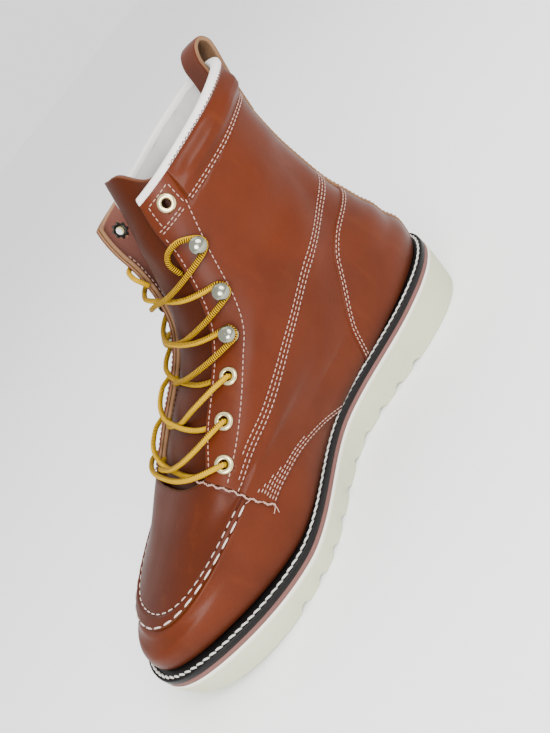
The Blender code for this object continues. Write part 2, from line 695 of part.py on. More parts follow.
def turned(name, profile, place, finish, closed):
    """Turned piece: a profile of (radius, height) points round its axis, set in place."""
    points = [(radius * MM, 0.0, height * MM) for radius, height in profile]
    edges = [(i, i + 1) for i in range(len(points) - 1)]
    if closed:
        edges.append((len(points) - 1, 0))
    mesh = bpy.data.meshes.new(name)
    mesh.from_pydata(points, edges, [])
    made = add_object(name, mesh, finish, boot)
    screw = made.modifiers.new("turn", "SCREW")
    screw.steps = TURNED_STEPS
    screw.render_steps = TURNED_STEPS
    screw.use_merge_vertices = True
    screw.merge_threshold = WELD
    made.matrix_world = place
    return made


def fastenings():
    """Eyelets through the front edges and hooks on them."""
    face = SEAT_GAP + QUARTER_THICK + FASTENING_GAP
    flange = EYELET_FLANGE_RADIUS
    barrel = EYELET_BARREL_RADIUS
    hole = EYELET_HOLE_RADIUS
    eyelet = (
        (hole, EYELET_FLANGE_THICK), (flange - EYELET_FLANGE_TAPER, EYELET_FLANGE_THICK), (flange, 0.0),
        (barrel, 0.0), (barrel, -EYELET_DEPTH), (hole, -EYELET_DEPTH),
    )
    hook = (
        (0.0, HOOK_HEIGHT), (HOOK_CROWN_RADIUS, HOOK_HEIGHT - HOOK_CROWN_DROP),
        (HOOK_HEAD_RADIUS, HOOK_HEIGHT - HOOK_RIM_DROP), (HOOK_NECK_RADIUS, HOOK_HEIGHT - HOOK_HEAD_THICK),
        (HOOK_NECK_RADIUS, HOOK_NECK_FOOT), (HOOK_BASE_RADIUS, HOOK_BASE_THICK), (HOOK_BASE_RADIUS, 0.0),
        (0.0, 0.0),
    )
    for side_name, side in SIDES:
        for row in FASTENINGS:
            turn = inset_turn(row.level, side, EYELET_INSET)
            place = seat_matrix(turn, row.level, face)
            name = row.name + "_" + side_name
            if row.kind == "hook":
                turned(name, hook, place, METAL, False)
                continue
            turned(name, eyelet, place, METAL, True)
            punch(name + "_punch", place, ("upper", "quarter_" + side_name))


def punch(name, place, targets):
    """Hole for an eyelet's barrel through the leather."""
    mesh = bpy.data.meshes.new(name)
    work = bmesh.new()
    radius = (EYELET_BARREL_RADIUS + SEAT_GAP) * MM
    bmesh.ops.create_cone(
        work, cap_ends=True, segments=TURNED_STEPS, radius1=radius, radius2=radius, depth=PUNCH_DEPTH * MM
    )
    work.to_mesh(mesh)
    work.free()
    cutter = add_cutter(name, mesh)
    cutter.matrix_world = place
    for target in targets:
        cut(bpy.data.objects[target], cutter, "DIFFERENCE")


def lace_points(acrosses, levels, heights):
    """Points over the boot's front: across is 0 on the middle line and grows to each side."""
    turns = np.where(acrosses >= 0.0, 1.0, -1.0) * (1.0 - np.abs(acrosses))
    return offset_surface(turns, levels, heights)


def fastening_across(row, side):
    """Sideways place of a fastening's axis, as lace_points counts it."""
    return side * (1.0 - abs(inset_turn(row.level, side, EYELET_INSET)))


def lace_strand(side, high, low):
    """Strand from the upper fastening on one side to the lower one on the other. It reaches a hook beside
    its neck, an eyelet over its hole, and the far eyelet's edge from under the leather."""
    part = np.linspace(0.0, 1.0, LACE_STEPS)
    above = high.level - (HOOK_PASS_LEVEL if high.kind == "hook" else 0.0)
    start = fastening_across(high, side)
    if low.kind == "hook":
        below = low.level + HOOK_PASS_LEVEL
        end = fastening_across(low, -side)
        end_height = LACE_TOP_HEIGHT
    else:
        below = low.level + EDGE_RISE_LEVEL
        end = -side * (1.0 - THROAT_EDGE - EDGE_INSET_TURN)
        end_height = LACE_LOW_HEIGHT
    lowered = smooth((part - LACE_LEVEL_SHARE) / (1.0 - LACE_LEVEL_SHARE))
    heights = LACE_TOP_HEIGHT + (end_height - LACE_TOP_HEIGHT) * lowered
    return lace_points(start + (end - start) * part, above + (below - above) * part, heights)


def tube(name, points, finish):
    """Tube along points, as a mesh with welded caps."""
    line = bpy.data.curves.new(name, "CURVE")
    line.dimensions = "3D"
    line.bevel_depth = LACE_RADIUS * MM
    line.bevel_resolution = 1
    line.use_fill_caps = True
    spline = line.splines.new("POLY")
    spline.points.add(len(points) - 1)
    for place, point in zip(spline.points, to_frame(points)):
        place.co = (*point, 1.0)
    drawn = bpy.data.objects.new(name + "_line", line)
    boot.objects.link(drawn)
    bpy.context.view_layer.update()
    mesh = bpy.data.meshes.new_from_object(drawn.evaluated_get(bpy.context.evaluated_depsgraph_get()))
    bpy.data.objects.remove(drawn)
    bpy.data.curves.remove(line)
    work = bmesh.new()
    work.from_mesh(mesh)
    bmesh.ops.remove_doubles(work, verts=work.verts, dist=WELD)
    bmesh.ops.recalc_face_normals(work, faces=work.faces)
    work.to_mesh(mesh)
    work.free()
    return add_object(name, mesh, finish, boot)


def laces():
    """Bar across the lowest eyelets, a crossing between each pair of fastenings above it, and two ends."""
    laced = FASTENINGS[1:]
    lowest = laced[-1]
    across = np.linspace(fastening_across(lowest, 1.0), fastening_across(lowest, -1.0), LACE_STEPS)
    bar = lace_points(across, np.full(LACE_STEPS, lowest.level), np.full(LACE_STEPS, LACE_TOP_HEIGHT))
    tube("lace_bar", bar, LACE_YELLOW)
    for high, low in zip(laced, laced[1:]):
        over = tube("lace_cross_" + high.name, lace_strand(1.0, high, low), LACE_YELLOW)
        under = tube("lace_under_" + high.name, lace_strand(-1.0, high, low), LACE_YELLOW)
        make_cutter(under)
        cut(over, under, "UNION")
    for side_name, side in SIDES:
        reach = fastening_across(laced[0], side)
        turn_back = smooth_line(
            [(reach * row.across, laced[0].level + row.level, row.height) for row in LACE_END], LACE_END_STEPS
        )
        tube("lace_end_" + side_name, lace_points(*turn_back.T), LACE_YELLOW)


for old in list(bpy.data.objects):
    bpy.data.objects.remove(old)
boot = bpy.data.collections.new("work_boot")
cutters = bpy.data.collections.new("cutters")
bpy.context.scene.collection.children.link(boot)
bpy.context.scene.collection.children.link(cutters)

outsole()
plate("midsole", SOLE_OUTLINE, MIDSOLE_INSET, raised(SOLE_TOP, SEAT_GAP),
      raised(SOLE_TOP, SEAT_GAP + MIDSOLE_THICK), MIDSOLE_BROWN, plate_shares(SOLE_STATIONS))
welt()
insole()
upper()
tongue()
panels()
pull_loop()
fastenings()
laces()
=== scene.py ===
"""Looks of a right work boot: moc toe, padded collar, stitched welt and cream wedge sole.

Lengths are millimetres from the heel's back: x to the toe, y to the inner side, z up from the floor. They
become metres in the boot's frame when a mesh is made. The upper follows the last's surface S(turn, level):
turn goes round the boot from 0 at the heel's back to +1 or -1 at the front, positive on the inner side, and
level goes up from the feather line above the welt to the collar.
"""

import logging
import math
from dataclasses import dataclass, field, replace
from enum import Enum
from functools import cache
from itertools import product
from typing import Callable, NamedTuple, Optional, Sequence

import bpy
import numpy as np
from mathutils import Matrix


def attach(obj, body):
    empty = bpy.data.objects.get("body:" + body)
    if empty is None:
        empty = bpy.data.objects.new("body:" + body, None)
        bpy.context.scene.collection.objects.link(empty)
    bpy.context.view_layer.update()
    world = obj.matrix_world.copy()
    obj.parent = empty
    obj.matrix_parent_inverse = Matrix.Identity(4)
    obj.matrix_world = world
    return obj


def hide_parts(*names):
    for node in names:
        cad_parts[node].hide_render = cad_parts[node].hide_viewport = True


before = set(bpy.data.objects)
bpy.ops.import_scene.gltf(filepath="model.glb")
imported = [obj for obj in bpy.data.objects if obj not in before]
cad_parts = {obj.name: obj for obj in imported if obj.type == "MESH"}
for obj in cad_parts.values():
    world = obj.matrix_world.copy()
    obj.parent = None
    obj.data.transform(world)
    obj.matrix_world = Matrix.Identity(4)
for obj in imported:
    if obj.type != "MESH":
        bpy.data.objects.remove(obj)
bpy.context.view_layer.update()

LOG = logging.getLogger("work_boot")
Array = np.ndarray
Colour = tuple[float, float, float]
Form = Callable[[Array, Array], Array]
Rows = tuple[tuple[float, float], ...]
# A step is (start, length) and a plateau (start, length of the rise, start of the fall, its length)
Step = tuple[float, float]
Plateau = tuple[float, float, float, float]

MM = 0.001
PHOTO_SIZE = (550, 733)
SENSOR = 36.0
BODY = "root"
TINY = 1e-6


class Side(Enum):
    """The boot's two sides, with the sign of their turns."""

    INNER = 1.0
    OUTER = -1.0

    @property
    def label(self) -> str:
        """Word used in the names of pieces."""
        return self.name.lower()


class Slot(Enum):
    """Material slots of the record."""

    LEATHER = "leather"
    LINING = "lining"
    SOLE = "sole"
    MIDSOLE = "midsole"
    WELT = "welt"
    METAL = "metal"
    LACE = "lace"


class Kind(Enum):
    """Kinds of lace fastening."""

    EYELET = "eyelet"
    HOOK = "hook"


class Level(NamedTuple):
    """Row of the last: ends on the middle plane, dip at the ball, half widths, bend and roundings."""

    back_x: float
    back_z: float
    front_x: float
    front_z: float
    sag: float
    heel: float
    waist_in: float
    waist_out: float
    ball_in: float
    ball_out: float
    toe_in: float
    back_end: float
    front_start: float
    front_power: float


LEVELS = (
    Level(6.0, 36.4, 292.0, 31.9, 11.3, 31.5, 26.0, 32.0, 46.0, 49.0, 5.0, 0.19, 0.66, 2.10),
    Level(3.0, 49.5, 293.0, 43.0, 9.0, 34.0, 31.0, 35.0, 48.8, 51.0, 5.0, 0.19, 0.66, 2.15),
    Level(7.0, 60.7, 280.5, 50.3, -7.7, 34.0, 36.0, 38.0, 46.2, 47.0, 4.6, 0.19, 0.66, 2.28),
    Level(8.4, 70.0, 247.0, 64.0, -1.5, 33.5, 38.5, 39.5, 44.6, 45.0, 4.2, 0.21, 0.66, 2.40),
    Level(11.7, 79.0, 218.0, 76.5, 0.0, 33.0, 39.5, 40.0, 44.0, 44.0, 2.0, 0.24, 0.68, 2.90),
    Level(14.5, 90.3, 193.0, 89.8, 0.0, 32.5, 40.0, 40.5, 42.3, 43.0, 1.0, 0.28, 0.66, 2.60),
    Level(18.5, 105.0, 157.5, 106.5, 0.0, 32.5, 40.0, 40.5, 41.5, 42.0, 0.0, 0.33, 0.62, 2.45),
    Level(20.3, 124.5, 138.0, 124.0, 0.0, 33.0, 38.0, 38.5, 38.2, 38.0, 0.0, 0.40, 0.58, 2.65),
    Level(21.0, 147.5, 124.0, 150.0, 0.0, 33.5, 36.0, 36.0, 34.9, 35.0, 0.0, 0.45, 0.55, 2.70),
    Level(19.0, 168.5, 117.5, 168.0, 0.0, 34.0, 35.5, 35.5, 33.8, 33.5, 0.0, 0.47, 0.54, 2.25),
    Level(12.5, 194.5, 111.0, 183.0, 0.0, 34.0, 35.5, 35.5, 33.2, 33.0, 0.0, 0.48, 0.53, 2.15),
    Level(9.0, 215.0, 104.0, 201.0, 0.0, 34.0, 35.0, 35.0, 32.0, 32.0, 0.0, 0.48, 0.53, 2.15),
)
TOP_LEVEL = 10.0
MOC_LEVEL = 2.0
FOOT_LEVEL = 0.15


class Flap(NamedTuple):
    """How far the outer flap stands open at its top front corner, and over which levels and turns."""

    out: float = 19.0
    ahead: float = 8.0
    low_level: float = 6.6
    high_level: float = 10.0
    start: float = 0.50
    full: float = 0.84
    hold: float = 0.88
    end: float = 1.0


class Crease(NamedTuple):
    """Soft trough or ridge between two side-view points: half width and height, negative for a trough."""

    x0: float
    z0: float
    x1: float
    z1: float
    width: float
    height: float
    side: Optional[Side] = None


CREASES = (
    Crease(62.0, 128.0, 96.0, 120.0, 11.0, -1.3),
    Crease(34.0, 138.0, 40.0, 118.0, 9.0, -1.0),
    Crease(58.0, 142.0, 78.0, 140.0, 12.0, 0.7),
    Crease(112.0, 108.0, 128.0, 96.0, 8.0, -0.8, Side.INNER),
    Crease(104.0, 112.0, 122.0, 103.0, 7.0, -0.8, Side.OUTER),
    Crease(204.0, 57.0, 213.0, 47.0, 6.0, -0.6),
    Crease(216.0, 55.0, 223.0, 46.0, 6.0, 0.4),
    Crease(226.0, 53.0, 232.0, 45.0, 5.0, -0.4),
    Crease(30.0, 70.0, 62.0, 62.0, 14.0, 0.6),
)


def smooth(x: Array) -> Array:
    """Smooth step from 0 to 1."""
    x = np.clip(x, 0.0, 1.0)
    return x * x * (3.0 - 2.0 * x)


def bell(x: Array) -> Array:
    """Bell of height 1 at 0, close to 0 from 2 on."""
    return np.exp(-np.square(x))


def cubic(a: Array, b: Array, c: Array, d: Array, part: Array) -> Array:
    """Smooth way from b to c, by a cubic whose slopes there come from the neighbours a and d."""
    value = 2.0 * b + (c - a) * part + (2.0 * a - 5.0 * b + 4.0 * c - d) * part ** 2
    return (value + (3.0 * b - a - 3.0 * c + d) * part ** 3) / 2.0


def curve(points: Sequence[Sequence[float]], per_span: int = 12) -> Array:
    """Smooth curve through points, by cubic spans whose slopes come from the neighbours.

    Args:
        points: The points to pass through.
        per_span: Steps in each span.

    Returns:
        Points along the curve, one row each.
    """
    points = np.array(points, float)
    ends = np.vstack([2 * points[0] - points[1], points, 2 * points[-1] - points[-2]])
    part = np.linspace(0.0, 1.0, per_span, endpoint=False)[None, :, None]
    spans = cubic(*(ends[k:len(ends) - 3 + k, None, :] for k in range(4)), part)
    return np.vstack([spans.reshape(-1, points.shape[1]), points[-1:]])


def ramp(x: Array, start: float, length: float) -> Array:
    """Smooth step from 0 at start to 1 a length further on."""
    return smooth((x - start) / length)


def plateau(x: Array, start: float, rise: float, end: Array, fall: float) -> Array:
    """Smooth step up from start over one length, times a smooth step down from end over another."""
    return ramp(x, start, rise) * (1.0 - ramp(x, end, fall))


def quarter_round(x: Array) -> Array:
    """Quarter circle that rises from 0 at 0 to 1 at 1, and stays there."""
    return np.sqrt(1.0 - (1.0 - np.clip(x, 0.0, 1.0)) ** 2)


def wrapped(turn: Array) -> Array:
    """Turn brought into the range from -1 to 1."""
    return (turn + 1.0) % 2.0 - 1.0


def run_of(points: Array, axis: int = 0) -> Array:
    """Distance walked along one axis of a line or grid of points, 0 at its start."""
    steps = np.linalg.norm(np.diff(points, axis=axis), axis=-1)
    return np.insert(np.cumsum(steps, axis=axis), 0, 0.0, axis=axis)


def along_loop(points: Array) -> Array:
    """Directions along a closed loop of points."""
    return unit(np.roll(points, -1, axis=0) - np.roll(points, 1, axis=0))


def left_of(ahead: Array) -> Array:
    """Plane directions turned a quarter circle to the left."""
    return np.stack([-ahead[:, 1], ahead[:, 0]], axis=-1)


def at_run(path: Array, run: Array, where: Array) -> Array:
    """Values of a path's rows at distances along it."""
    return np.stack([np.interp(where, run, column) for column in path.T], axis=-1)


def unit(vectors: Array) -> Array:
    """Vectors scaled to length 1."""
    return vectors / np.maximum(np.linalg.norm(vectors, axis=-1, keepdims=True), 1e-9)


@dataclass(frozen=True)
class Last:
    """Surface of the last: at each level the half width joins heel, waist and ball, with round ends."""

    heel_share: float = 0.18
    waist_share: float = 0.42
    ball_share: float = 0.70
    dip_share: float = 0.68
    rise_share: float = 0.34
    bend_share: float = 0.40
    back_power: float = 2.2
    slope_step: float = 0.004
    throat_edge: float = 0.85
    throat_level: float = 3.7
    foot_roll: float = 2.6
    roll_level: float = 0.3
    roll_reach: float = 0.42
    roll_least: float = 0.15
    roll_start: float = 0.5
    roll_fade: float = 0.15
    flap: Flap = Flap()
    table: Array = field(default_factory=lambda: np.array(LEVELS))

    def columns(self, level: Array) -> Array:
        """Columns of the table at a level, by a smooth curve through its rows.

        Args:
            level: Heights by level.

        Returns:
            Values, with the columns along the first axis.
        """
        last = len(self.table) - 1
        row = np.clip(np.floor(level).astype(int), 0, last - 1)
        rows = (np.maximum(row - 1, 0), row, row + 1, np.minimum(row + 2, last))
        return np.moveaxis(cubic(*(self.table[k] for k in rows), (level - row)[..., None]), -1, 0)

    def dip(self, share: Array) -> Array:
        """0 at both ends of the boot and 1 at the ball."""
        after = 1.0 - smooth((share - self.dip_share) / (1.0 - self.dip_share))
        return np.where(share < self.dip_share, smooth(share / self.dip_share), after)

    def drop(self, share: Array, sag: Array) -> Array:
        """Drop of a level below its straight line: the dip, or a later rise where the sag is negative.

        Args:
            share: Shares of the boot's length.
            sag: Drop at the ball, negative for a rise.

        Returns:
            Drops.
        """
        late = smooth((share - self.rise_share) / (self.dip_share - self.rise_share))
        late = np.where(share < self.dip_share, late, self.dip(share))
        return np.maximum(sag, 0.0) * self.dip(share) + np.minimum(sag, 0.0) * late

    def bend(self, share: Array, toe_in: Array) -> Array:
        """Sideways bend of the middle line to the inner side at the toe."""
        return toe_in * np.clip((share - self.bend_share) / (1.0 - self.bend_share), 0.0, 1.0) ** 2

    def half_width(self, share: Array, heel: Array, waist: Array, ball: Array, back_end: Array,
                   front_start: Array, front_power: Array) -> Array:
        """Half width: heel, waist and ball joined by smooth steps, times a rounding at each end.

        Args:
            share: Shares of the length.
            heel: Half width at the heel.
            waist: Half width at the waist.
            ball: Half width at the ball.
            back_end: Share where the heel's rounding ends.
            front_start: Share where the toe's rounding starts.
            front_power: Fullness of the toe's rounding.

        Returns:
            Half widths.
        """
        to_waist = smooth((share - self.heel_share) / (self.waist_share - self.heel_share))
        to_ball = smooth((share - self.waist_share) / (self.ball_share - self.waist_share))
        across = heel + (waist - heel) * to_waist + (ball - waist) * to_ball
        back = np.clip(1.0 - share / back_end, 0.0, 1.0)
        front = np.clip((share - front_start) / (1.0 - front_start), 0.0, 1.0)
        back_round = (1.0 - back ** self.back_power) ** (1.0 / self.back_power)
        return across * back_round * (1.0 - front ** front_power) ** (1.0 / front_power)

    def laced(self, turn: Array, level: Array) -> Array:
        """Point of the last with both flaps closed.

        Args:
            turn: Places round the boot.
            level: Heights by level.

        Returns:
            Points, with x, y and z in the last axis.
        """
        turn, level = np.broadcast_arrays(np.asarray(turn, float), np.asarray(level, float))
        turn = wrapped(turn)
        back_x, back_z, front_x, front_z, sag, heel, *rest = self.columns(level)
        waist_in, waist_out, ball_in, ball_out, toe_in, back_end, front_start, front_power = rest
        inner = turn >= 0.0
        share = (1.0 - np.cos(np.pi * np.abs(turn))) / 2.0
        width = self.half_width(share, heel, np.where(inner, waist_in, waist_out),
                                np.where(inner, ball_in, ball_out), back_end, front_start, front_power)
        x = back_x + (front_x - back_x) * share
        y = np.where(inner, width, -width) + self.bend(share, toe_in)
        z = back_z + (front_z - back_z) * share - self.drop(share, sag)
        return np.stack([x, y, z], axis=-1)

    def surface(self, turn: Array, level: Array) -> Array:
        """Point of the upper: the laced form with the outer flap's top corner standing open.

        Args:
            turn: Places round the boot.
            level: Heights by level.

        Returns:
            Points, with x, y and z in the last axis.
        """
        turn, level = np.broadcast_arrays(np.asarray(turn, float), np.asarray(level, float))
        round_turn, flap = wrapped(turn), self.flap
        up = smooth((level - flap.low_level) / (flap.high_level - flap.low_level))
        ahead = smooth((np.abs(round_turn) - flap.start) / (flap.full - flap.start))
        fade = 1.0 - smooth((np.abs(round_turn) - flap.hold) / (flap.end - flap.hold))
        open_by = np.where(round_turn < 0.0, up * ahead * fade, 0.0)[..., None]
        return self.laced(turn, level) + open_by * np.array([flap.ahead, -flap.out, 0.0])

    def normal(self, turn: Array, level: Array, form: Optional[Form] = None) -> Array:
        """Outward unit normal: the cross product of the slopes along level and turn.

        Args:
            turn: Places round the boot.
            level: Heights by level.
            form: The surface, if it isn't the upper's.

        Returns:
            Normals, with x, y and z in the last axis.
        """
        form = form or self.surface
        along = form(turn + self.slope_step, level) - form(turn - self.slope_step, level)
        up = form(turn, level + self.slope_step) - form(turn, level - self.slope_step)
        return unit(np.cross(up, along))

    def relief(self, turn: Array, level: Array) -> Array:
        """Height of the creases: for each one a bell of the side-view distance to its line.

        Args:
            turn: Places round the boot.
            level: Heights by level.

        Returns:
            Heights, with the roll of leather just above the welt.
        """
        point = self.laced(turn, level)
        x, z = point[..., 0], point[..., 2]
        ahead = smooth((np.abs(wrapped(turn)) - self.roll_start) / self.roll_fade)
        ahead = self.roll_least + (1.0 - self.roll_least) * ahead
        total = self.foot_roll * ahead * bell((level - self.roll_level) / self.roll_reach)
        for crease in CREASES:
            dx, dz = crease.x1 - crease.x0, crease.z1 - crease.z0
            part = np.clip(((x - crease.x0) * dx + (z - crease.z0) * dz) / (dx * dx + dz * dz), 0.0, 1.0)
            far = np.hypot(x - crease.x0 - part * dx, z - crease.z0 - part * dz)
            where = 1.0 if crease.side is None else point[..., 1] * crease.side.value > 0.0
            total = total + crease.height * bell(far / crease.width) * where
        return total

    def lift(self, turn: Array, level: Array, distance: Array, form: Optional[Form] = None) -> Array:
        """Point at a distance outside the creased surface, along its normal.

        Args:
            turn: Places round the boot.
            level: Heights by level.
            distance: Distances outside the surface.
            form: The surface, if it isn't the upper's.

        Returns:
            Points, with x, y and z in the last axis.
        """
        turn, level = np.broadcast_arrays(np.asarray(turn, float), np.asarray(level, float))
        form = form or self.surface
        out = np.asarray(distance, float) + self.relief(turn, level)
        return form(turn, level) + out[..., None] * self.normal(turn, level, form)

    def from_side(self, x: Array, z: Array) -> tuple[Array, Array]:
        """Turn, without sign, and level of points seen from the side, by halving the range of levels.

        Args:
            x: Distances from the heel's back.
            z: Heights.

        Returns:
            Turns and levels.
        """
        low, high = np.zeros(x.shape), np.full(x.shape, len(self.table) - 1.001)
        for _ in range(40):
            level = (low + high) / 2.0
            back_x, back_z, front_x, front_z, sag = self.columns(level)[:5]
            share = np.clip((x - back_x) / (front_x - back_x), 0.0, 1.0)
            below = back_z + (front_z - back_z) * share - self.drop(share, sag) < z
            low, high = np.where(below, level, low), np.where(below, high, level)
        return np.arccos(1.0 - 2.0 * share) / np.pi, level

    def spot(self, x: float, z: float) -> tuple[float, float]:
        """Turn, without sign, and level of one point seen from the side."""
        turn, level = self.from_side(np.array([x]), np.array([z]))
        return float(turn[0]), float(level[0])

    def heel_turn(self, y: Array, level: Array) -> Array:
        """Turn at a sideways distance from the heel's middle: the rounding of the heel solved for the turn.

        Args:
            y: Sideways distances.
            level: Heights by level.

        Returns:
            Turns with the distances' signs.
        """
        heel, back_end = self.columns(level)[5], self.columns(level)[11]
        part = np.clip(np.abs(y) / heel, 0.0, 1.0) ** self.back_power
        share = back_end * (1.0 - (1.0 - part) ** (1.0 / self.back_power))
        return np.sign(y) * np.arccos(1.0 - 2.0 * share) / np.pi

    def level_from(self, turn: Array, level: float, distance: Array) -> Array:
        """Level at a distance above another level, or below it if negative, measured up the surface.

        Args:
            turn: Places round the level.
            level: The level to measure from.
            distance: Distances, one for each turn.

        Returns:
            Levels.
        """
        steps, reach = 96, 1.4
        ladder = level + np.linspace(-reach, reach, 2 * steps + 1)[:, None]
        up = run_of(self.surface(turn[None, :], ladder))
        up = up - up[steps]
        row = np.clip((up < distance).sum(axis=0) - 1, 0, 2 * steps - 1)
        column = np.arange(len(turn))
        part = (distance - up[row, column]) / (up[row + 1, column] - up[row, column])
        return ladder[row, 0] + part * (reach / steps)

    def inset_turn(self, level: float, side: Side, distance: float) -> float:
        """Turn that lies a distance behind the throat's edge, measured round the level."""
        turns = np.linspace(self.throat_edge, 0.4, 91) * side.value
        return float(np.interp(distance, run_of(self.surface(turns, np.full(91, level))), turns))


LAST = Last()


@dataclass(frozen=True)
class Seam:
    """Line on the upper through points seen from the side, as (x, z)."""

    points: Rows

    def line(self, offset: float = 0.0) -> Array:
        """Line moved sideways.

        Args:
            offset: Distance to the left of the line's way.

        Returns:
            Rows of (turn, level), the turns without sign.
        """
        line = curve(self.points)
        line = line + offset * left_of(unit(np.gradient(line, axis=0)))
        return np.stack(LAST.from_side(*line.T), axis=-1)

    def level_at(self, turn: Array) -> Array:
        """Level of the line at a turn.

        Args:
            turn: Turns without sign.

        Returns:
            Levels.
        """
        turns, levels = self.line().T
        order = np.argsort(turns)
        return np.interp(turn, turns[order], levels[order])


QUARTER_SEAM = Seam(((-12.0, 110.0), (15.0, 108.0), (44.0, 103.0), (77.0, 96.0), (113.0, 85.0),
                     (155.0, 74.0), (180.0, 70.0), (200.8, 64.0)))
COUNTER_LINE = Seam(((-12.0, 96.0), (18.0, 95.5), (45.0, 93.0), (61.5, 87.0), (72.0, 77.5), (89.0, 55.0),
                     (96.5, 31.0)))
WING_LINE = Seam(((125.0, 25.5), (146.0, 37.0), (166.0, 44.5), (184.0, 47.0), (196.5, 47.0)))
QUARTER_FRONT = Seam(((196.5, 47.0), (200.8, 61.0), (201.5, 68.0), (205.0, 80.0)))
QUARTER_NOSE = Seam(((200.8, 64.0), (201.5, 68.0), (203.0, 74.0), (205.0, 80.0)))
WING_END = Seam(((196.5, 47.0), (199.2, 54.5), (200.6, 61.0), (201.1, 65.5)))
COLLAR_LINE = Seam(((-12.0, 176.0), (38.0, 171.0), (68.0, 167.0), (112.0, 163.0)))
HEEL_GAP = 10.6
EYESTAY_REAR = Seam(((94.0, 168.0), (106.0, 146.0), (118.0, 122.0), (129.0, 108.0), (143.0, 99.0),
                     (165.0, 87.0), (182.0, 79.0), (200.0, 72.0)))


def from_heel(line: Array, y: float = HEEL_GAP) -> Array:
    """Line of turns and levels, cut where it comes within a sideways distance of the heel's middle.

    Args:
        line: Rows of (turn, level).
        y: The sideways distance.

    Returns:
        Rows of (turn, level), the first at that distance.
    """
    turn, level = line.T
    start = LAST.heel_turn(np.full(level.shape, y), level)
    first = int(np.argmax(turn > start))
    return np.vstack([[(start[first], level[first])], line[first:]])


@dataclass
class Body:
    """Mesh in the making: points, faces, and values that its materials read."""

    points: Array
    quads: Array
    tris: Array = field(default_factory=lambda: np.zeros((0, 3), int))
    edge: Optional[Array] = None
    # Painted light per point: burnish with painted shading above the welt, and a painted highlight along the
    # sole lip's top
    shade: Optional[Array] = None
    finish_of: Optional[Array] = None
    uv: Optional[Array] = None


def joined(bodies: Sequence[Body]) -> Body:
    """One body from several, with their edge values and corner coordinates.

    Args:
        bodies: The bodies.

    Returns:
        The body.
    """
    starts = np.concatenate([[0], np.cumsum([len(body.points) for body in bodies])[:-1]])
    edges = [np.zeros(len(body.points)) if body.edge is None else body.edge for body in bodies]
    has_uv = all(body.uv is not None for body in bodies)
    return Body(
        np.vstack([body.points for body in bodies]),
        np.vstack([body.quads + start for body, start in zip(bodies, starts)]),
        np.vstack([body.tris + start for body, start in zip(bodies, starts)]),
        edge=np.concatenate(edges),
        uv=np.vstack([body.uv for body in bodies]) if has_uv else None,
    )


def grid_quads(rows: int, columns: int, closed: bool = False) -> Array:
    """Faces of a grid of points, with its last column joined to the first if it is closed.

    Args:
        rows: Rows of points.
        columns: Points in a row.
        closed: Whether the rows are closed.

    Returns:
        Faces of four.
    """
    row = np.arange(rows - 1)[:, None] * columns
    here = np.arange(columns if closed else columns - 1)[None, :]
    after = (here + 1) % columns
    corners = [row + here, row + after, row + columns + after, row + columns + here]
    return np.stack([np.broadcast_to(c, (rows - 1, here.size)) for c in corners], axis=-1).reshape(-1, 4)


def open_edges(quads: Array) -> Array:
    """Edges with one face only, in that face's direction.

    Args:
        quads: Faces of four.

    Returns:
        Pairs of points.
    """
    edges = np.stack([quads, np.roll(quads, -1, axis=1)], axis=-1).reshape(-1, 2)
    key = np.sort(edges, axis=1)
    _, index, count = np.unique(key, axis=0, return_index=True, return_counts=True)
    return edges[index[count == 1]]


def facing(points: Array, quads: Array, normals: Array) -> Array:
    """Faces turned as one so that they point along the normals of their points.

    Args:
        points: Points of the mesh.
        quads: Its faces.
        normals: Directions at the points.

    Returns:
        The faces.
    """
    a, b, d = points[quads[:, 0]], points[quads[:, 1]], points[quads[:, 3]]
    agree = np.sum(np.cross(b - a, d - a) * normals[quads[:, 0]])
    return quads if agree > 0.0 else quads[:, ::-1]


def shell(outer: Array, inner: Array, quads: Array) -> Body:
    """Closed wall: outer faces, inner faces turned round, and a strip along each open edge.

    Args:
        outer: Points of the outer side.
        inner: Points of the inner side, in the same order.
        quads: Faces of the outer side; points that they don't use are dropped.

    Returns:
        The wall, with the outer faces first, then the inner ones and the strips.
    """
    count = len(outer)
    quads = facing(outer, quads, outer - inner)
    rim = open_edges(quads)
    strips = np.stack([rim[:, 1], rim[:, 0], rim[:, 0] + count, rim[:, 1] + count], axis=-1)
    faces = np.vstack([quads, quads[:, ::-1] + count, strips])
    used = np.unique(faces)
    order = np.full(2 * count, -1)
    order[used] = np.arange(len(used))
    kind = np.repeat([0, 1, 2], [len(quads), len(quads), len(strips)])
    edge = np.zeros(2 * count)
    edge[strips.ravel()] = 1.0
    return Body(np.vstack([outer, inner])[used], order[faces], edge=edge[used], finish_of=kind)


def end_caps(rings: int, sides: int) -> Array:
    """Triangles from the two poles, numbered after the rings' points, to the first and last ring.

    Args:
        rings: Number of rings.
        sides: Points in each.

    Returns:
        Faces of three.
    """
    here = np.arange(sides)
    after = (here + 1) % sides
    pole, last = rings * sides, (rings - 1) * sides
    return np.vstack([
        np.stack([np.full(sides, pole), after, here], axis=-1),
        np.stack([np.full(sides, pole + 1), last + here, last + after], axis=-1),
    ])


TUBE_START = np.array([0.31, 0.17, 0.93])
LATHE_START = np.array([0.2, 0.1, 0.97])
RIPPLES = 8.0
ROD_SIDES = 6
ROD_ALONG = np.array([-0.88, -0.45, 0.45, 0.88])
ROD_THICK = np.array([0.62, 1.0, 1.0, 0.62])


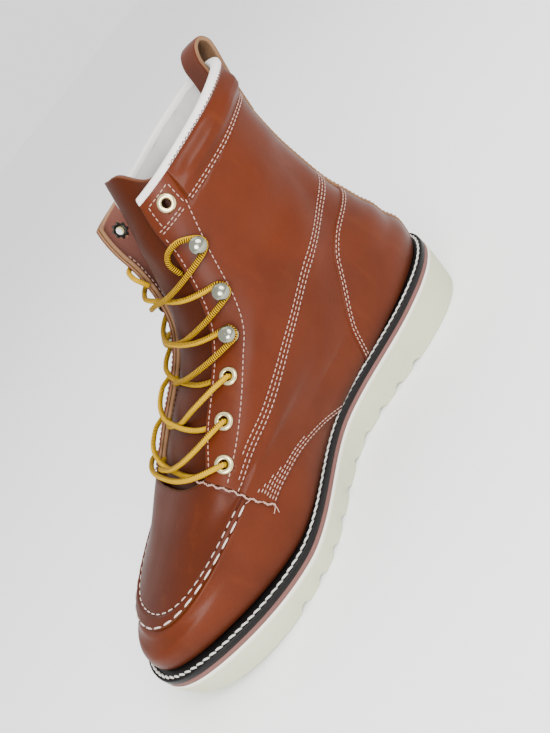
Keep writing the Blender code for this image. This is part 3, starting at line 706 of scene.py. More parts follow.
def tube(path: Array, radius: float, sides: int = 12) -> Body:
    """Round tube along a path: a circle carried along it without twist, with a rounded cap at each end.

    Args:
        path: Points along the middle.
        radius: Radius of the tube.
        sides: Points round it.

    Returns:
        The tube, with corner coordinates: share round it, and distance along it.
    """
    ahead = unit(np.gradient(path, axis=0))
    across = np.empty_like(path)
    across[0] = unit(np.cross(ahead[0], TUBE_START))
    for k in range(1, len(path)):
        across[k] = unit(across[k - 1] - (across[k - 1] @ ahead[k]) * ahead[k])
    other = np.cross(ahead, across)
    angle = np.linspace(0.0, 2.0 * np.pi, sides, endpoint=False)[None, :, None]
    rings = path[:, None] + radius * (np.cos(angle) * across[:, None] + np.sin(angle) * other[:, None])
    count = len(path)
    poles = np.stack([path[0] - 0.5 * radius * ahead[0], path[-1] + 0.5 * radius * ahead[-1]])
    run = run_of(path)
    here = np.arange(sides)
    left, start = np.meshgrid(here / sides, run[:-1])
    right, end = np.meshgrid((here + 1) / sides, run[1:])
    corners = ((left, start), (right, start), (right, end), (left, end))
    uv = np.stack([np.stack(corner, axis=-1) for corner in corners], axis=2).reshape(-1, 4, 2)
    points = np.vstack([rings.reshape(-1, 3), poles])
    return Body(points, grid_quads(count, sides, True), end_caps(count, sides), uv=uv)


def lathe(profile: Array, origin: Array, axis: Array, steps: int, ripple: Optional[Array] = None) -> Body:
    """Turned piece: a closed profile of (radius, height) points carried round an axis.

    Args:
        profile: Points of the closed profile.
        origin: Point of the axis at height 0.
        axis: Direction of the axis.
        steps: Steps round it.
        ripple: Share by which each profile point's radius waves round the axis.

    Returns:
        The ring.
    """
    across = unit(np.cross(axis, LATHE_START))
    other = np.cross(axis, across)
    angle = np.linspace(0.0, 2.0 * np.pi, steps, endpoint=False)[:, None, None]
    radius = profile[None, :, 0:1]
    if ripple is not None:
        radius = radius * (1.0 + ripple[None, :, None] * np.cos(RIPPLES * angle))
    ring = np.cos(angle) * across + np.sin(angle) * other
    points = origin + radius * ring + profile[None, :, 1:2] * axis
    rows = points.shape[0]
    quads = grid_quads(rows + 1, len(profile), True)
    quads = np.where(quads >= rows * len(profile), quads - rows * len(profile), quads)
    flat = points.reshape(-1, 3)
    middle = np.repeat(points.mean(axis=1), len(profile), axis=0)
    return Body(flat, facing(flat, quads, flat - middle))


class Thread(NamedTuple):
    """Sewn thread: length of a stitch, gap to the next, radius, how far it arches, and slant in radians."""

    length: float
    gap: float
    radius: float
    arch: float
    slant: float = 0.0


FINE = Thread(2.15, 0.85, 0.30, 0.24)
HEAVY = Thread(6.6, 2.1, 0.50, 0.4)
MOC_FINE = Thread(3.9, 1.6, 0.35, 0.3)
ROPE = Thread(4.9, -0.55, 0.62, 0.45, 0.24)


def stitches(path: Array, normals: Array, thread: Thread) -> Body:
    """Row of stitches: rounded rods of six sides along a path, each arched above it.

    Args:
        path: Points along the seam.
        normals: Outward directions there.
        thread: The thread and its spacing.

    Returns:
        All the stitches of the row.
    """
    run = run_of(path)
    pitch = thread.length + thread.gap
    count = max(1, int((run[-1] - thread.length) / pitch) + 1)
    middle = (run[-1] - (count - 1) * pitch) / 2.0 + pitch * np.arange(count)
    a = at_run(path, run, middle - thread.length / 2.0)
    b = at_run(path, run, middle + thread.length / 2.0)
    ahead = unit(b - a)
    up = at_run(normals, run, middle)
    up = unit(up - np.sum(up * ahead, axis=-1, keepdims=True) * ahead)
    aside = np.cross(ahead, up)
    ahead = math.cos(thread.slant) * ahead + math.sin(thread.slant) * aside
    aside = np.cross(ahead, up)
    angle = np.linspace(0.0, 2.0 * np.pi, ROD_SIDES, endpoint=False)
    thick = thread.radius * ROD_THICK
    rise = thread.arch * (1.0 - ROD_ALONG ** 2)
    x = np.append(np.repeat(ROD_ALONG, ROD_SIDES), [-1.0, 1.0]) * thread.length / 2.0
    y = np.append(np.outer(thick, np.sin(angle)).ravel(), [0.0, 0.0])
    z = np.append((np.outer(thick, np.cos(angle)) + rise[:, None]).ravel(), [0.0, 0.0])
    points = ((a + b) / 2.0)[:, None] + x[None, :, None] * ahead[:, None]
    points = points + y[None, :, None] * aside[:, None] + z[None, :, None] * up[:, None]
    shift = (np.arange(count) * len(x))[:, None, None]
    quads = (grid_quads(len(thick), ROD_SIDES, True)[None] + shift).reshape(-1, 4)
    caps = (end_caps(len(thick), ROD_SIDES)[None] + shift).reshape(-1, 3)
    return Body(points.reshape(-1, 3), quads, caps)


class Tree:
    """Adds and links nodes of one shader tree."""

    def __init__(self, tree: bpy.types.NodeTree) -> None:
        """Starts on a tree."""
        self.tree = tree

    def node(self, kind: str, inputs: Optional[dict] = None, **settings: object) -> bpy.types.Node:
        """New node.

        Args:
            kind: Type of the node.
            inputs: Values, or sockets to link, by input name or number.
            settings: Properties of the node.

        Returns:
            The node.
        """
        made = self.tree.nodes.new(kind)
        for name, value in settings.items():
            setattr(made, name, value)
        self.feed(made, inputs or {})
        return made

    def feed(self, node: bpy.types.Node, inputs: dict) -> None:
        """Sets or links inputs of a node.

        Args:
            node: The node.
            inputs: Values, or sockets to link, by input name or number.
        """
        for name, value in inputs.items():
            if isinstance(value, bpy.types.NodeSocket):
                self.tree.links.new(value, node.inputs[name])
            else:
                node.inputs[name].default_value = value

    def mix(self, factor: object, a: object, b: object) -> bpy.types.NodeSocket:
        """Colour between a and b."""
        ends = [(*c, 1.0) if isinstance(c, tuple) else c for c in (a, b)]
        return self.node("ShaderNodeMix", {0: factor, 6: ends[0], 7: ends[1]}, data_type="RGBA").outputs[2]

    def maths(self, operation: str, a: object, b: object = 0.0) -> bpy.types.NodeSocket:
        """Result of a sum on two values."""
        return self.node("ShaderNodeMath", {0: a, 1: b}, operation=operation).outputs[0]

    def span(self, value: object, low: float, high: float, first: float = 0.0,
             last: float = 1.0) -> bpy.types.NodeSocket:
        """Value carried from the range low to high to the range first to last, held at its ends."""
        inputs = {"Value": value, "From Min": low, "From Max": high, "To Min": first, "To Max": last}
        return self.node("ShaderNodeMapRange", inputs).outputs[0]

    def noise(self, place: object, scale: object, detail: float = 3.0) -> bpy.types.NodeSocket:
        """Noise value at a place."""
        inputs = {"Vector": place, "Scale": scale, "Detail": detail}
        return self.node("ShaderNodeTexNoise", inputs).outputs["Fac"]


def grain_group() -> bpy.types.NodeTree:
    """Grain of hide and rubber, as a node group.

    Returns:
        The group: Height from small cells and noise, Mottle from wide clouds, Scuff from upright streaks.
    """
    group = bpy.data.node_groups.new("surface_grain", "ShaderNodeTree")
    group.interface.new_socket("Vector", in_out="INPUT", socket_type="NodeSocketVector")
    group.interface.new_socket("Scale", in_out="INPUT", socket_type="NodeSocketFloat")
    for name in ("Height", "Mottle", "Scuff"):
        group.interface.new_socket(name, in_out="OUTPUT", socket_type="NodeSocketFloat")
    tree = Tree(group)
    given = tree.node("NodeGroupInput").outputs
    place, scale = given["Vector"], given["Scale"]
    cells = tree.node("ShaderNodeTexVoronoi", {"Vector": place, "Scale": scale}, feature="SMOOTH_F1")
    cells = tree.maths("MULTIPLY", cells.outputs["Distance"], 0.6)
    fine = tree.maths("MULTIPLY", tree.noise(place, tree.maths("MULTIPLY", scale, 1.7), 4.0), 0.5)
    clouds = tree.noise(place, tree.maths("MULTIPLY", scale, 0.045), 5.0)
    streak = tree.node("ShaderNodeMapping", {"Vector": place, "Scale": (1.0, 1.0, 0.25)})
    scuff = tree.noise(streak.outputs[0], tree.maths("MULTIPLY", scale, 0.12), 6.0)
    tree.node("NodeGroupOutput", {"Height": tree.maths("ADD", cells, fine),
                                  "Mottle": tree.span(clouds, 0.3, 0.7),
                                  "Scuff": tree.span(scuff, 0.58, 0.78)})
    return group


GRAIN = grain_group()


@dataclass(frozen=True)
class Finish:
    """Finish of one material: colour with clouds of a second one, gloss and grain."""

    name: str
    colour: Colour
    cloud: Colour
    roughness: float
    grain_scale: float
    bump: float
    coat: float = 0.0
    coat_roughness: float = 0.3
    metallic: float = 0.0
    scuff_colour: Optional[Colour] = None
    cloud_share: float = 0.5
    edge_colour: Optional[Colour] = None
    # Colour mixed in by the painted-light attribute: burnish with painted shading on leather, a painted
    # highlight on the sole's lip
    shade_colour: Optional[Colour] = None
    specular: float = 0.3
    scuff_share: float = 0.22
    bump_depth: float = 0.0004

    def colour_of(self, tree: Tree, grain: bpy.types.Node) -> bpy.types.NodeSocket:
        """Colour: clouds, scuffs, darkening near the welt (burnish with painted shading), a painted
        highlight on the sole's lip, and raw cut edges over the base colour.

        Args:
            tree: The material's tree.
            grain: Its grain group.

        Returns:
            The colour's socket.
        """
        share = tree.maths("MULTIPLY", grain.outputs["Mottle"], self.cloud_share)
        colour = tree.mix(share, self.colour, self.cloud)
        if self.scuff_colour:
            scuff = tree.maths("MULTIPLY", grain.outputs["Scuff"], self.scuff_share)
            colour = tree.mix(scuff, colour, self.scuff_colour)
        # Painted light from the attribute: burnish with painted shading above the welt, a painted highlight
        # along the sole's lip
        if self.shade_colour:
            shade = tree.node("ShaderNodeAttribute", attribute_name="shade").outputs["Fac"]
            colour = tree.mix(shade, colour, self.shade_colour)
        if self.edge_colour:
            raw = tree.node("ShaderNodeAttribute", attribute_name="edge").outputs["Fac"]
            colour = tree.mix(raw, colour, self.edge_colour)
        return colour

    def height_of(self, tree: Tree, grain: bpy.types.Node) -> bpy.types.NodeSocket:
        """Height that the bump follows."""
        return grain.outputs["Height"]

    @cache
    def material(self) -> bpy.types.Material:
        """The finish as a material with one Principled shader, made at its first use.

        Returns:
            The material.
        """
        made = bpy.data.materials.new(self.name)
        made.use_nodes = True
        tree = Tree(made.node_tree)
        place = tree.node("ShaderNodeTexCoord").outputs["Object"]
        grain = tree.node("ShaderNodeGroup", node_tree=GRAIN)
        tree.feed(grain, {"Vector": place, "Scale": self.grain_scale})
        bump = tree.node("ShaderNodeBump", {"Strength": self.bump, "Distance": self.bump_depth,
                                            "Height": self.height_of(tree, grain)})
        tree.feed(made.node_tree.nodes["Principled BSDF"], {
            "Base Color": self.colour_of(tree, grain),
            "Roughness": tree.span(grain.outputs["Mottle"], 0.0, 1.0, self.roughness - 0.05,
                                   self.roughness + 0.06),
            "Normal": bump.outputs[0],
            "Metallic": self.metallic,
            "Specular IOR Level": self.specular,
            "Coat Weight": self.coat,
            "Coat Roughness": self.coat_roughness,
        })
        return made


@dataclass(frozen=True)
class LaceFinish(Finish):
    """Round braid: ridges along its length, and ticks of a second colour on one side."""

    tick_colour: Colour = (0.10, 0.03, 0.01)
    ridge: float = 1.15
    tick_low: float = 0.46
    tick_high: float = 0.88

    def braid(self, tree: Tree) -> tuple[bpy.types.NodeSocket, bpy.types.NodeSocket]:
        """Share round the lace, and a wave along it with one crest for each ridge.

        Args:
            tree: The material's tree.

        Returns:
            The two sockets.
        """
        uv = tree.node("ShaderNodeUVMap", uv_map="braid").outputs[0]
        parts = tree.node("ShaderNodeSeparateXYZ", {0: uv})
        turned = tree.maths("ADD", parts.outputs[1], tree.maths("MULTIPLY", parts.outputs[0], self.ridge))
        wave = tree.maths("SINE", tree.maths("MULTIPLY", turned, 2.0 * math.pi / self.ridge))
        return parts.outputs[0], wave

    def colour_of(self, tree: Tree, grain: bpy.types.Node) -> bpy.types.NodeSocket:
        """Yellow braid with clouds, painted shading between the ridges, ticked on one side.

        Args:
            tree: The material's tree.
            grain: Its grain group.

        Returns:
            The colour's socket.
        """
        colour = super().colour_of(tree, grain)
        round_share, wave = self.braid(tree)
        side = tree.maths("MULTIPLY", tree.maths("GREATER_THAN", round_share, self.tick_low),
                          tree.maths("LESS_THAN", round_share, self.tick_high))
        tick = tree.maths("MULTIPLY", side, tree.span(wave, -0.1, 0.3, 1.0, 0.0))
        # Painted shading: darker in the furrows between the ridges
        furrow_painted_shading = tree.span(wave, -1.0, -0.3, 0.4, 0.0)
        return tree.mix(tick, tree.mix(furrow_painted_shading, colour, self.cloud), self.tick_colour)

    def height_of(self, tree: Tree, grain: bpy.types.Node) -> bpy.types.NodeSocket:
        """Height of the ridges."""
        return self.braid(tree)[1]


# Its shade_colour darkens the leather near the welt: burnish with painted shading
LEATHER = Finish("leather", (0.074, 0.0128, 0.0026), (0.044, 0.0070, 0.0015), 0.42, 900.0, 0.22, coat=0.06,
                 coat_roughness=0.28, scuff_colour=(0.120, 0.028, 0.005), edge_colour=(0.17, 0.085, 0.04),
                 shade_colour=(0.014, 0.005, 0.003), specular=0.08)
# Darker copy of the leather: painted shading on the apron
APRON_PAINTED_SHADING_LEATHER = replace(LEATHER, name="apron_leather", colour=(0.053, 0.0090, 0.0018),
                        cloud=(0.036, 0.0056, 0.0012))
TONGUE_LEATHER = Finish("tongue_leather", (0.044, 0.0080, 0.0014), (0.028, 0.0048, 0.0010), 0.45, 800.0, 0.2,
                        coat=0.02, edge_colour=(0.10, 0.036, 0.018), shade_colour=(0.016, 0.006, 0.004),
                        specular=0.07)
FLESH = Finish("flesh_side", (0.135, 0.050, 0.037), (0.092, 0.033, 0.025), 0.85, 700.0, 0.35,
               edge_colour=(0.27, 0.15, 0.078), specular=0.15)
SUEDE_TAN = Finish("raw_hide", (0.17, 0.095, 0.05), (0.075, 0.038, 0.02), 0.9, 1300.0, 0.6, specular=0.1)
LINING = Finish("lining", (0.40, 0.38, 0.37), (0.31, 0.29, 0.285), 0.62, 1100.0, 0.12)
BINDING = Finish("binding", (0.68, 0.65, 0.62), (0.58, 0.55, 0.52), 0.7, 1600.0, 0.3)
# Its shade_colour is a painted highlight along the top of the lip
RUBBER = Finish("cream_rubber", (0.47, 0.485, 0.340), (0.41, 0.425, 0.295), 0.62, 600.0, 0.14,
                shade_colour=(0.66, 0.64, 0.56))
STRIP_RUBBER = Finish("brown_strip", (0.125, 0.052, 0.043), (0.09, 0.036, 0.03), 0.6, 900.0, 0.2)
WELT_RUBBER = Finish("black_welt", (0.0030, 0.0025, 0.0025), (0.0060, 0.0045, 0.0045), 0.5, 900.0, 0.25,
                     specular=0.15)
THREAD = Finish("white_thread", (0.38, 0.235, 0.19), (0.29, 0.17, 0.135), 0.75, 2500.0, 0.4)
MOC_THREAD = Finish("moc_thread", (0.52, 0.42, 0.37), (0.40, 0.31, 0.26), 0.75, 2500.0, 0.4)
DARK_THREAD = Finish("dark_thread", (0.13, 0.055, 0.042), (0.10, 0.04, 0.03), 0.75, 2500.0, 0.4)
ROPE_THREAD = Finish("welt_thread", (0.56, 0.535, 0.49), (0.22, 0.20, 0.18), 0.75, 900.0, 0.5)
BRASS = Finish("pale_brass", (0.58, 0.50, 0.27), (0.40, 0.34, 0.17), 0.26, 500.0, 0.05, metallic=1.0)
NICKEL = Finish("bright_nickel", (0.27, 0.275, 0.215), (0.12, 0.125, 0.10), 0.16, 500.0, 0.04, metallic=1.0)
DARK_METAL = Finish("dark_metal", (0.02, 0.02, 0.018), (0.05, 0.05, 0.04), 0.35, 500.0, 0.1, metallic=0.8)
LACE = LaceFinish("lace", (0.45, 0.26, 0.0), (0.28, 0.135, 0.0), 0.6, 1200.0, 0.6, cloud_share=0.2,
                  tick_colour=(0.040, 0.011, 0.002), specular=0.07)


SOLE_LENGTH = 300.0


class Outline(NamedTuple):
    """Sole seen from above: half widths at heel, waist and ball, bend, and roundings of both ends."""

    heel: float = 39.0
    waist_in: float = 28.5
    waist_out: float = 37.0
    ball_in: float = 54.0
    ball_out: float = 56.0
    toe_in: float = 5.0
    back_end: float = 0.17
    front_start: float = 0.68
    front_power: float = 2.2

    def side(self, share: Array, side: Side) -> Array:
        """Y of the outline on one side.

        Args:
            share: Shares of the sole's length.
            side: The side.

        Returns:
            Sideways distances from the middle plane.
        """
        inner = side is Side.INNER
        width = LAST.half_width(share, self.heel, self.waist_in if inner else self.waist_out,
                                self.ball_in if inner else self.ball_out, self.back_end, self.front_start,
                                self.front_power)
        return side.value * width + LAST.bend(share, self.toe_in)


OUTLINE = Outline()


def origin() -> Array:
    """Origin of the boot's frame.

    Returns:
        The floor point under the middle of the sole's box.
    """
    shares = (1.0 - np.cos(np.linspace(0.0, np.pi, 241))) / 2.0
    middle = (OUTLINE.side(shares, Side.INNER).max() + OUTLINE.side(shares, Side.OUTER).min()) / 2.0
    return np.array([SOLE_LENGTH / 2.0, middle, 0.0])


ORIGIN = origin()


def to_frame(points: Array) -> Array:
    """Millimetres from the heel's back to metres in the boot's frame."""
    return (np.asarray(points, float) - ORIGIN) * MM


def place(name: str, body: Body, finishes: Sequence[Finish], slot: Slot,
          replaces: Sequence[str] = ()) -> bpy.types.Object:
    """Piece of the boot, riding on its body.

    Args:
        name: Name of the piece.
        body: Its mesh in millimetres.
        finishes: Its finishes; the body's faces name them by number.
        slot: The record's slot; not used.
        replaces: CAD nodes that it stands for.

    Returns:
        The object.
    """
    mesh = bpy.data.meshes.new(name)
    mesh.from_pydata(to_frame(body.points), [], body.quads.tolist() + body.tris.tolist())
    for finish in finishes:
        mesh.materials.append(finish.material())
    if body.finish_of is not None and len(finishes) > 1:
        index = np.minimum(body.finish_of, len(finishes) - 1).astype(np.int32)
        mesh.polygons.foreach_set("material_index", index)
    # Stores the painted-light values (burnish with painted shading, painted highlight) beside the raw edges
    for attribute, values in (("edge", body.edge), ("shade", body.shade)):
        if values is not None:
            layer = mesh.attributes.new(attribute, "FLOAT", "POINT")
            layer.data.foreach_set("value", np.asarray(values, np.float32))
    if body.uv is not None:
        corners = np.concatenate([body.uv.reshape(-1, 2), np.zeros((3 * len(body.tris), 2))])
        mesh.uv_layers.new(name="braid").data.foreach_set("uv", corners.astype(np.float32).ravel())
    mesh.shade_smooth()
    mesh.update()
    piece = bpy.data.objects.new(name, mesh)
    bpy.context.scene.collection.objects.link(piece)
    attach(piece, BODY)
    if replaces:
        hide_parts(*replaces)
    triangles = 2 * len(body.quads) + len(body.tris)
    LOG.info("%s: %d triangles, finish %s", name, triangles, finishes[0].name)
    return piece


class Rise(NamedTuple):
    """Height line along the sole: at the heel's back, at the toe's tip, and its dip at the ball."""

    back: float
    front: float
    sag: float

    def at(self, share: Array) -> Array:
        """Height at shares of the sole's length."""
        return self.back + (self.front - self.back) * share - self.sag * LAST.dip(share)


@dataclass(frozen=True)
class SoleUnit:
    """Outsole, midsole, welt, welt stitch and insole. Rows are (inset from outline, rise over the wedge)."""

    top: Rise = Rise(28.0, 23.4, 11.3)
    half_steps: int = 260
    across_steps: int = 24
    lip: Rows = ((3.0, 0.0), (0.66, 0.0), (0.62, 1.1), (0.45, 1.4), (0.15, 1.3), (0.0, 0.8), (0.0, -1.0),
                 (0.05, -1.8), (0.3, -2.4), (0.42, -2.8))
    # Rings of the lip that get the painted highlight
    pale_rings: tuple[int, int] = (2, 6)
    wall_steps: int = 8
    wall_power: float = 1.3
    tuck: float = 3.2
    chamfer: float = 2.0
    tread_edge: Rows = ((0.15, 0.45), (0.5, 0.12), (1.0, 0.0))
    toe_spring: float = 10.0
    spring_start: float = 212.0
    groove_start: float = 74.0
    groove_pitch: float = 17.0
    groove_count: int = 10
    groove_width: float = 8.0
    groove_depth: float = 2.6
    groove_shape: Rows = ((0.0, 0.0), (0.12, 0.55), (0.3, 1.0), (0.62, 0.9), (0.85, 0.35), (1.0, 0.0))
    midsole_low: float = 0.3
    midsole_high: float = 4.0
    welt_low: float = 4.3
    welt_high: float = 8.0
    welt_inner: float = 14.0
    stitch_inset: float = 2.4
    stitch_sink: float = 0.2
    insole_inset: float = 3.9
    insole_thick: float = 3.5

    def loop(self) -> tuple[Array, Array, Array]:
        """Outline of the sole from above, once round: inner side to the toe, outer side back to the heel.

        Returns:
            Shares of the length, points (x, y), and outward normals there.
        """
        share = (1.0 - np.cos(np.linspace(0.0, np.pi, self.half_steps + 1))) / 2.0
        shares = np.concatenate([share, share[-2:0:-1]])
        ys = np.concatenate([OUTLINE.side(share, Side.INNER), OUTLINE.side(share[-2:0:-1], Side.OUTER)])
        points = np.stack([shares * SOLE_LENGTH, ys], axis=-1)
        ahead = along_loop(points)
        return shares, points, left_of(ahead)

    def wedge(self) -> Array:
        """Height of the wedge's top along the loop."""
        return self.top.at(self.loop()[0])

    def ring(self, inset: float, height: Array) -> Array:
        """Loop of points at an inset from the outline and at heights."""
        _, points, out = self.loop()
        return np.column_stack([points - inset * out, height])

    def rings(self, rows: Rows) -> list[Array]:
        """Loops at rows of insets and rises."""
        return [self.ring(inset, self.wedge() + rise) for inset, rise in rows]

    def layered(self, rings: Sequence[Array], top: Optional[Form], bottom: Optional[Form]) -> Body:
        """Solid through rings from top to bottom, each end closed by a sheet across the sole.

        Args:
            rings: Loops of points.
            top: Height of the top sheet at (x, y), or None where the rings close on themselves.
            bottom: Height of the bottom sheet.

        Returns:
            The closed body.
        """
        around = 2 * self.half_steps
        last = (len(rings) - 1) * around
        points, tris = [np.vstack(rings)], [np.zeros((0, 3), int)]
        quads = [grid_quads(len(rings), around, True)]
        if top is None:
            here = np.arange(around)
            after = (here + 1) % around
            quads.append(np.stack([last + here, last + after, after, here], axis=-1))
        for ring, base, height, turn in ((rings[0], 0, top, -1), (rings[-1], last, bottom, 1)):
            if height is not None:
                start = sum(len(added) for added in points)
                added, faces, ends = self.sheet_across(ring, base, start, height)
                points.append(added)
                quads.append(faces[:, ::turn])
                tris.append(ends[:, ::turn])
        return Body(np.vstack(points), np.vstack(quads), np.vstack(tris))

    def sheet_across(self, ring: Array, base: int, start: int, height: Form) -> tuple[Array, Array, Array]:
        """Sheet inside a ring: straight rows from the inner side's points to the outer side's.

        Args:
            ring: The ring's points.
            base: Number of its first point.
            start: Number of the sheet's first new point.
            height: Height at (x, y).

        Returns:
            New points, faces of four, and faces of three at the two ends.
        """
        half, steps = self.half_steps, self.across_steps
        k = np.arange(1, half)
        near, far = ring[k], ring[2 * half - k]
        part = np.linspace(0.0, 1.0, steps + 1)[None, 1:-1, None]
        inside = near[:, None] + (far - near)[:, None] * part
        inside[..., 2] = height(inside[..., 0], inside[..., 1])
        number = np.empty((half - 1, steps + 1), int)
        number[:, 0], number[:, -1] = base + k, base + 2 * half - k
        number[:, 1:-1] = start + np.arange(inside.shape[0] * inside.shape[1]).reshape(inside.shape[:2])
        corners = [number[:-1, :-1], number[1:, :-1], number[1:, 1:], number[:-1, 1:]]
        quads = np.stack(corners, axis=-1).reshape(-1, 4)
        heel = np.stack([np.full(steps, base), number[0, :-1], number[0, 1:]], axis=-1)
        toe = np.stack([np.full(steps, base + half), number[-1, 1:], number[-1, :-1]], axis=-1)
        return inside.reshape(-1, 3), quads, np.vstack([heel, toe])

    def tread(self, x: Array) -> Array:
        """Height of the tread: flat, rising to the toe with the square of the distance, with grooves.

        Args:
            x: Distances from the heel's back.

        Returns:
            Heights.
        """
        rise = np.clip((x - self.spring_start) / (SOLE_LENGTH - self.spring_start), 0.0, 1.0)
        along = (x - self.groove_start) / self.groove_pitch
        part = (along - np.floor(along)) * self.groove_pitch / self.groove_width
        inside = (along >= 0.0) & (along < self.groove_count) & (part < 1.0)
        scallop = np.interp(part, *np.array(self.groove_shape).T)
        return self.toe_spring * rise ** 2 + np.where(inside, self.groove_depth * scallop, 0.0)

    def outsole(self) -> None:
        """Cream wedge: wall that tapers to the tread, a rounded lip along its top, and notching grooves."""
        low = self.tread(self.loop()[1][:, 0])
        rings = self.rings(self.lip)
        lip_inset, lip_drop = self.lip[-1]
        high = self.wedge() + lip_drop
        for part in np.linspace(0.0, 1.0, self.wall_steps + 1)[1:]:
            inset = lip_inset + (self.tuck - lip_inset) * part ** self.wall_power
            rings.append(self.ring(inset, high + (low + self.chamfer - high) * part))
        for inset, rise in self.tread_edge:
            rings.append(self.ring(self.tuck + inset, low + rise * self.chamfer))
        body = self.layered(rings, lambda x, y: self.top.at(x / SOLE_LENGTH), lambda x, y: self.tread(x))
        # Painted highlight: the lip's top rings are paler
        first, last = (number * len(low) for number in self.pale_rings)
        body.shade = np.zeros(len(body.points))
        body.shade[first:last] = 1.0
        place("outsole_wedge", body, [RUBBER], Slot.SOLE, ["outsole"])

    def midsole(self) -> None:
        """Brown strip between outsole and welt, with slightly rounded edges."""
        high, low = self.midsole_high, self.midsole_low
        rows = ((3.0, high), (0.9, high), (0.6, high - 0.4), (0.55, 2.2), (0.6, low + 0.4), (0.9, low),
                (3.0, low))
        sheets = [lambda x, y, rise=rise: self.top.at(x / SOLE_LENGTH) + rise for rise in (high, low)]
        body = self.layered(self.rings(rows), *sheets)
        place("midsole_strip", body, [STRIP_RUBBER], Slot.MIDSOLE, ["midsole"])

    def welt(self) -> None:
        """Black ring with a shallow channel for the stitches, carried round the outline."""
        high, low, seam = self.welt_high, self.welt_low, self.stitch_inset
        rows = ((self.welt_inner, high), (7.0, high), (seam + 1.6, high), (seam + 1.0, high - 0.35),
                (seam, high - 0.55), (seam - 1.0, high - 0.35), (seam - 1.6, high), (0.9, high),
                (0.35, high - 0.2), (0.2, high - 0.8), (0.2, low + 0.5), (0.5, low), (self.welt_inner, low))
        place("welt_ring", self.layered(self.rings(rows), None, None), [WELT_RUBBER], Slot.WELT, ["welt"])

    def welt_stitch(self) -> None:
        """Rope-like stitch all round the welt: slanted overlapping rods in the channel."""
        path = self.ring(self.stitch_inset, self.wedge() + self.welt_high - self.stitch_sink)
        path = np.vstack([path, path[:1]])
        up = np.tile([0.0, 0.0, 1.0], (len(path), 1))
        place("welt_stitch", stitches(path, up, ROPE), [ROPE_THREAD], Slot.WELT)

    def insole(self) -> None:
        """Insole inside the upper: the feather line's loop, drawn in, with a rounded top edge."""
        turn = np.linspace(0.0, 1.0, self.half_steps + 1)
        turns = np.concatenate([turn, -turn[-2:0:-1]])
        ring = LAST.surface(turns, np.zeros(len(turns)))
        ahead = along_loop(ring)
        inward = np.stack([ahead[:, 1], -ahead[:, 0], np.zeros(len(ring))], axis=-1)
        rows = ((self.insole_inset + 1.0, self.insole_thick), (self.insole_inset, self.insole_thick - 0.8),
                (self.insole_inset, 0.0))
        rings = [ring + inset * inward + np.array([0.0, 0.0, rise]) for inset, rise in rows]
        order = np.argsort(ring[:, 0])

        def feather(x: Array) -> Array:
            """Height of the feather line at x."""
            return np.interp(x / SOLE_LENGTH, ring[order, 0] / SOLE_LENGTH, ring[order, 2])

        body = self.layered(rings, lambda x, y: feather(x) + self.insole_thick, lambda x, y: feather(x))
        place("insole_board", body, [LINING], Slot.LINING, ["insole"])

    def build(self) -> None:
        """Makes the sole's pieces from the floor up."""
        self.outsole()
        self.midsole()
        self.welt()
        self.welt_stitch()
        self.insole()


class Fastening(NamedTuple):
    """Eyelet or hook at a level of the front edge."""

    name: str
    level: float
    kind: Kind


FASTENINGS = (
    Fastening("eyelet_top", 9.31, Kind.EYELET),
    Fastening("hook_upper", 7.97, Kind.HOOK),
    Fastening("hook_middle", 7.08, Kind.HOOK),
    Fastening("hook_lower", 6.17, Kind.HOOK),
    Fastening("eyelet_upper", 5.54, Kind.EYELET),
    Fastening("eyelet_middle", 4.90, Kind.EYELET),
    Fastening("eyelet_lower", 4.07, Kind.EYELET),
)
EYELET_INSET = 13.6
HOLE_RADIUS = 3.2
HOLE_DEPTH = 9.0
PANEL_BASE = 0.3
WING_TOP = 1.85
QUARTER_TOP = 2.4
COUNTER_TOP = 2.5
COLLAR_TOP = 2.6
SEAT_HEIGHT = 2.9


def seat_of(row: Fastening, side: Side, height: float) -> tuple[Array, Array, float]:
    """Axis of a fastening.

    Args:
        row: The fastening.
        side: Side of the boot.
        height: Height over the upper.

    Returns:
        Point of the axis at the height, outward normal, and turn.
    """
    turn = LAST.inset_turn(row.level, side, EYELET_INSET)
    at = (np.array(turn), np.array(row.level))
    return LAST.lift(*at, height), LAST.normal(*at), turn


def clear_of_eyelets(points: Array, quads: Array, sides: Sequence[Side]) -> Array:
    """Faces left after the eyelets' holes are punched.

    Args:
        points: Points of the mesh.
        quads: Its faces.
        sides: Sides of the boot that are punched.

    Returns:
        The faces that stay.
    """
    centre = points[quads].mean(axis=1)
    keep = np.ones(len(quads), bool)
    eyelets = [row for row in FASTENINGS if row.kind is Kind.EYELET]
    for side, row in product(sides, eyelets):
        middle, out, _ = seat_of(row, side, 0.0)
        away = centre - middle
        deep = away @ out
        aside = np.linalg.norm(away - deep[:, None] * out, axis=1)
        keep &= (aside > HOLE_RADIUS) | (np.abs(deep) > HOLE_DEPTH)
    return quads[keep]


def side_view(line: Array) -> Array:
    """Points (x, z) of a line of turns and levels, seen from the side."""
    return LAST.laced(line[:, 0], line[:, 1])[:, [0, 2]]


def sheet(turn: Array, level: Array, high: Array, low: Array, form: Optional[Form] = None) -> Body:
    """Closed sheet on a grid of the last, between a high and a low height over it."""
    outer, inner = (LAST.lift(turn, level, height, form).reshape(-1, 3) for height in (high, low))
    return shell(outer, inner, grid_quads(*level.shape))


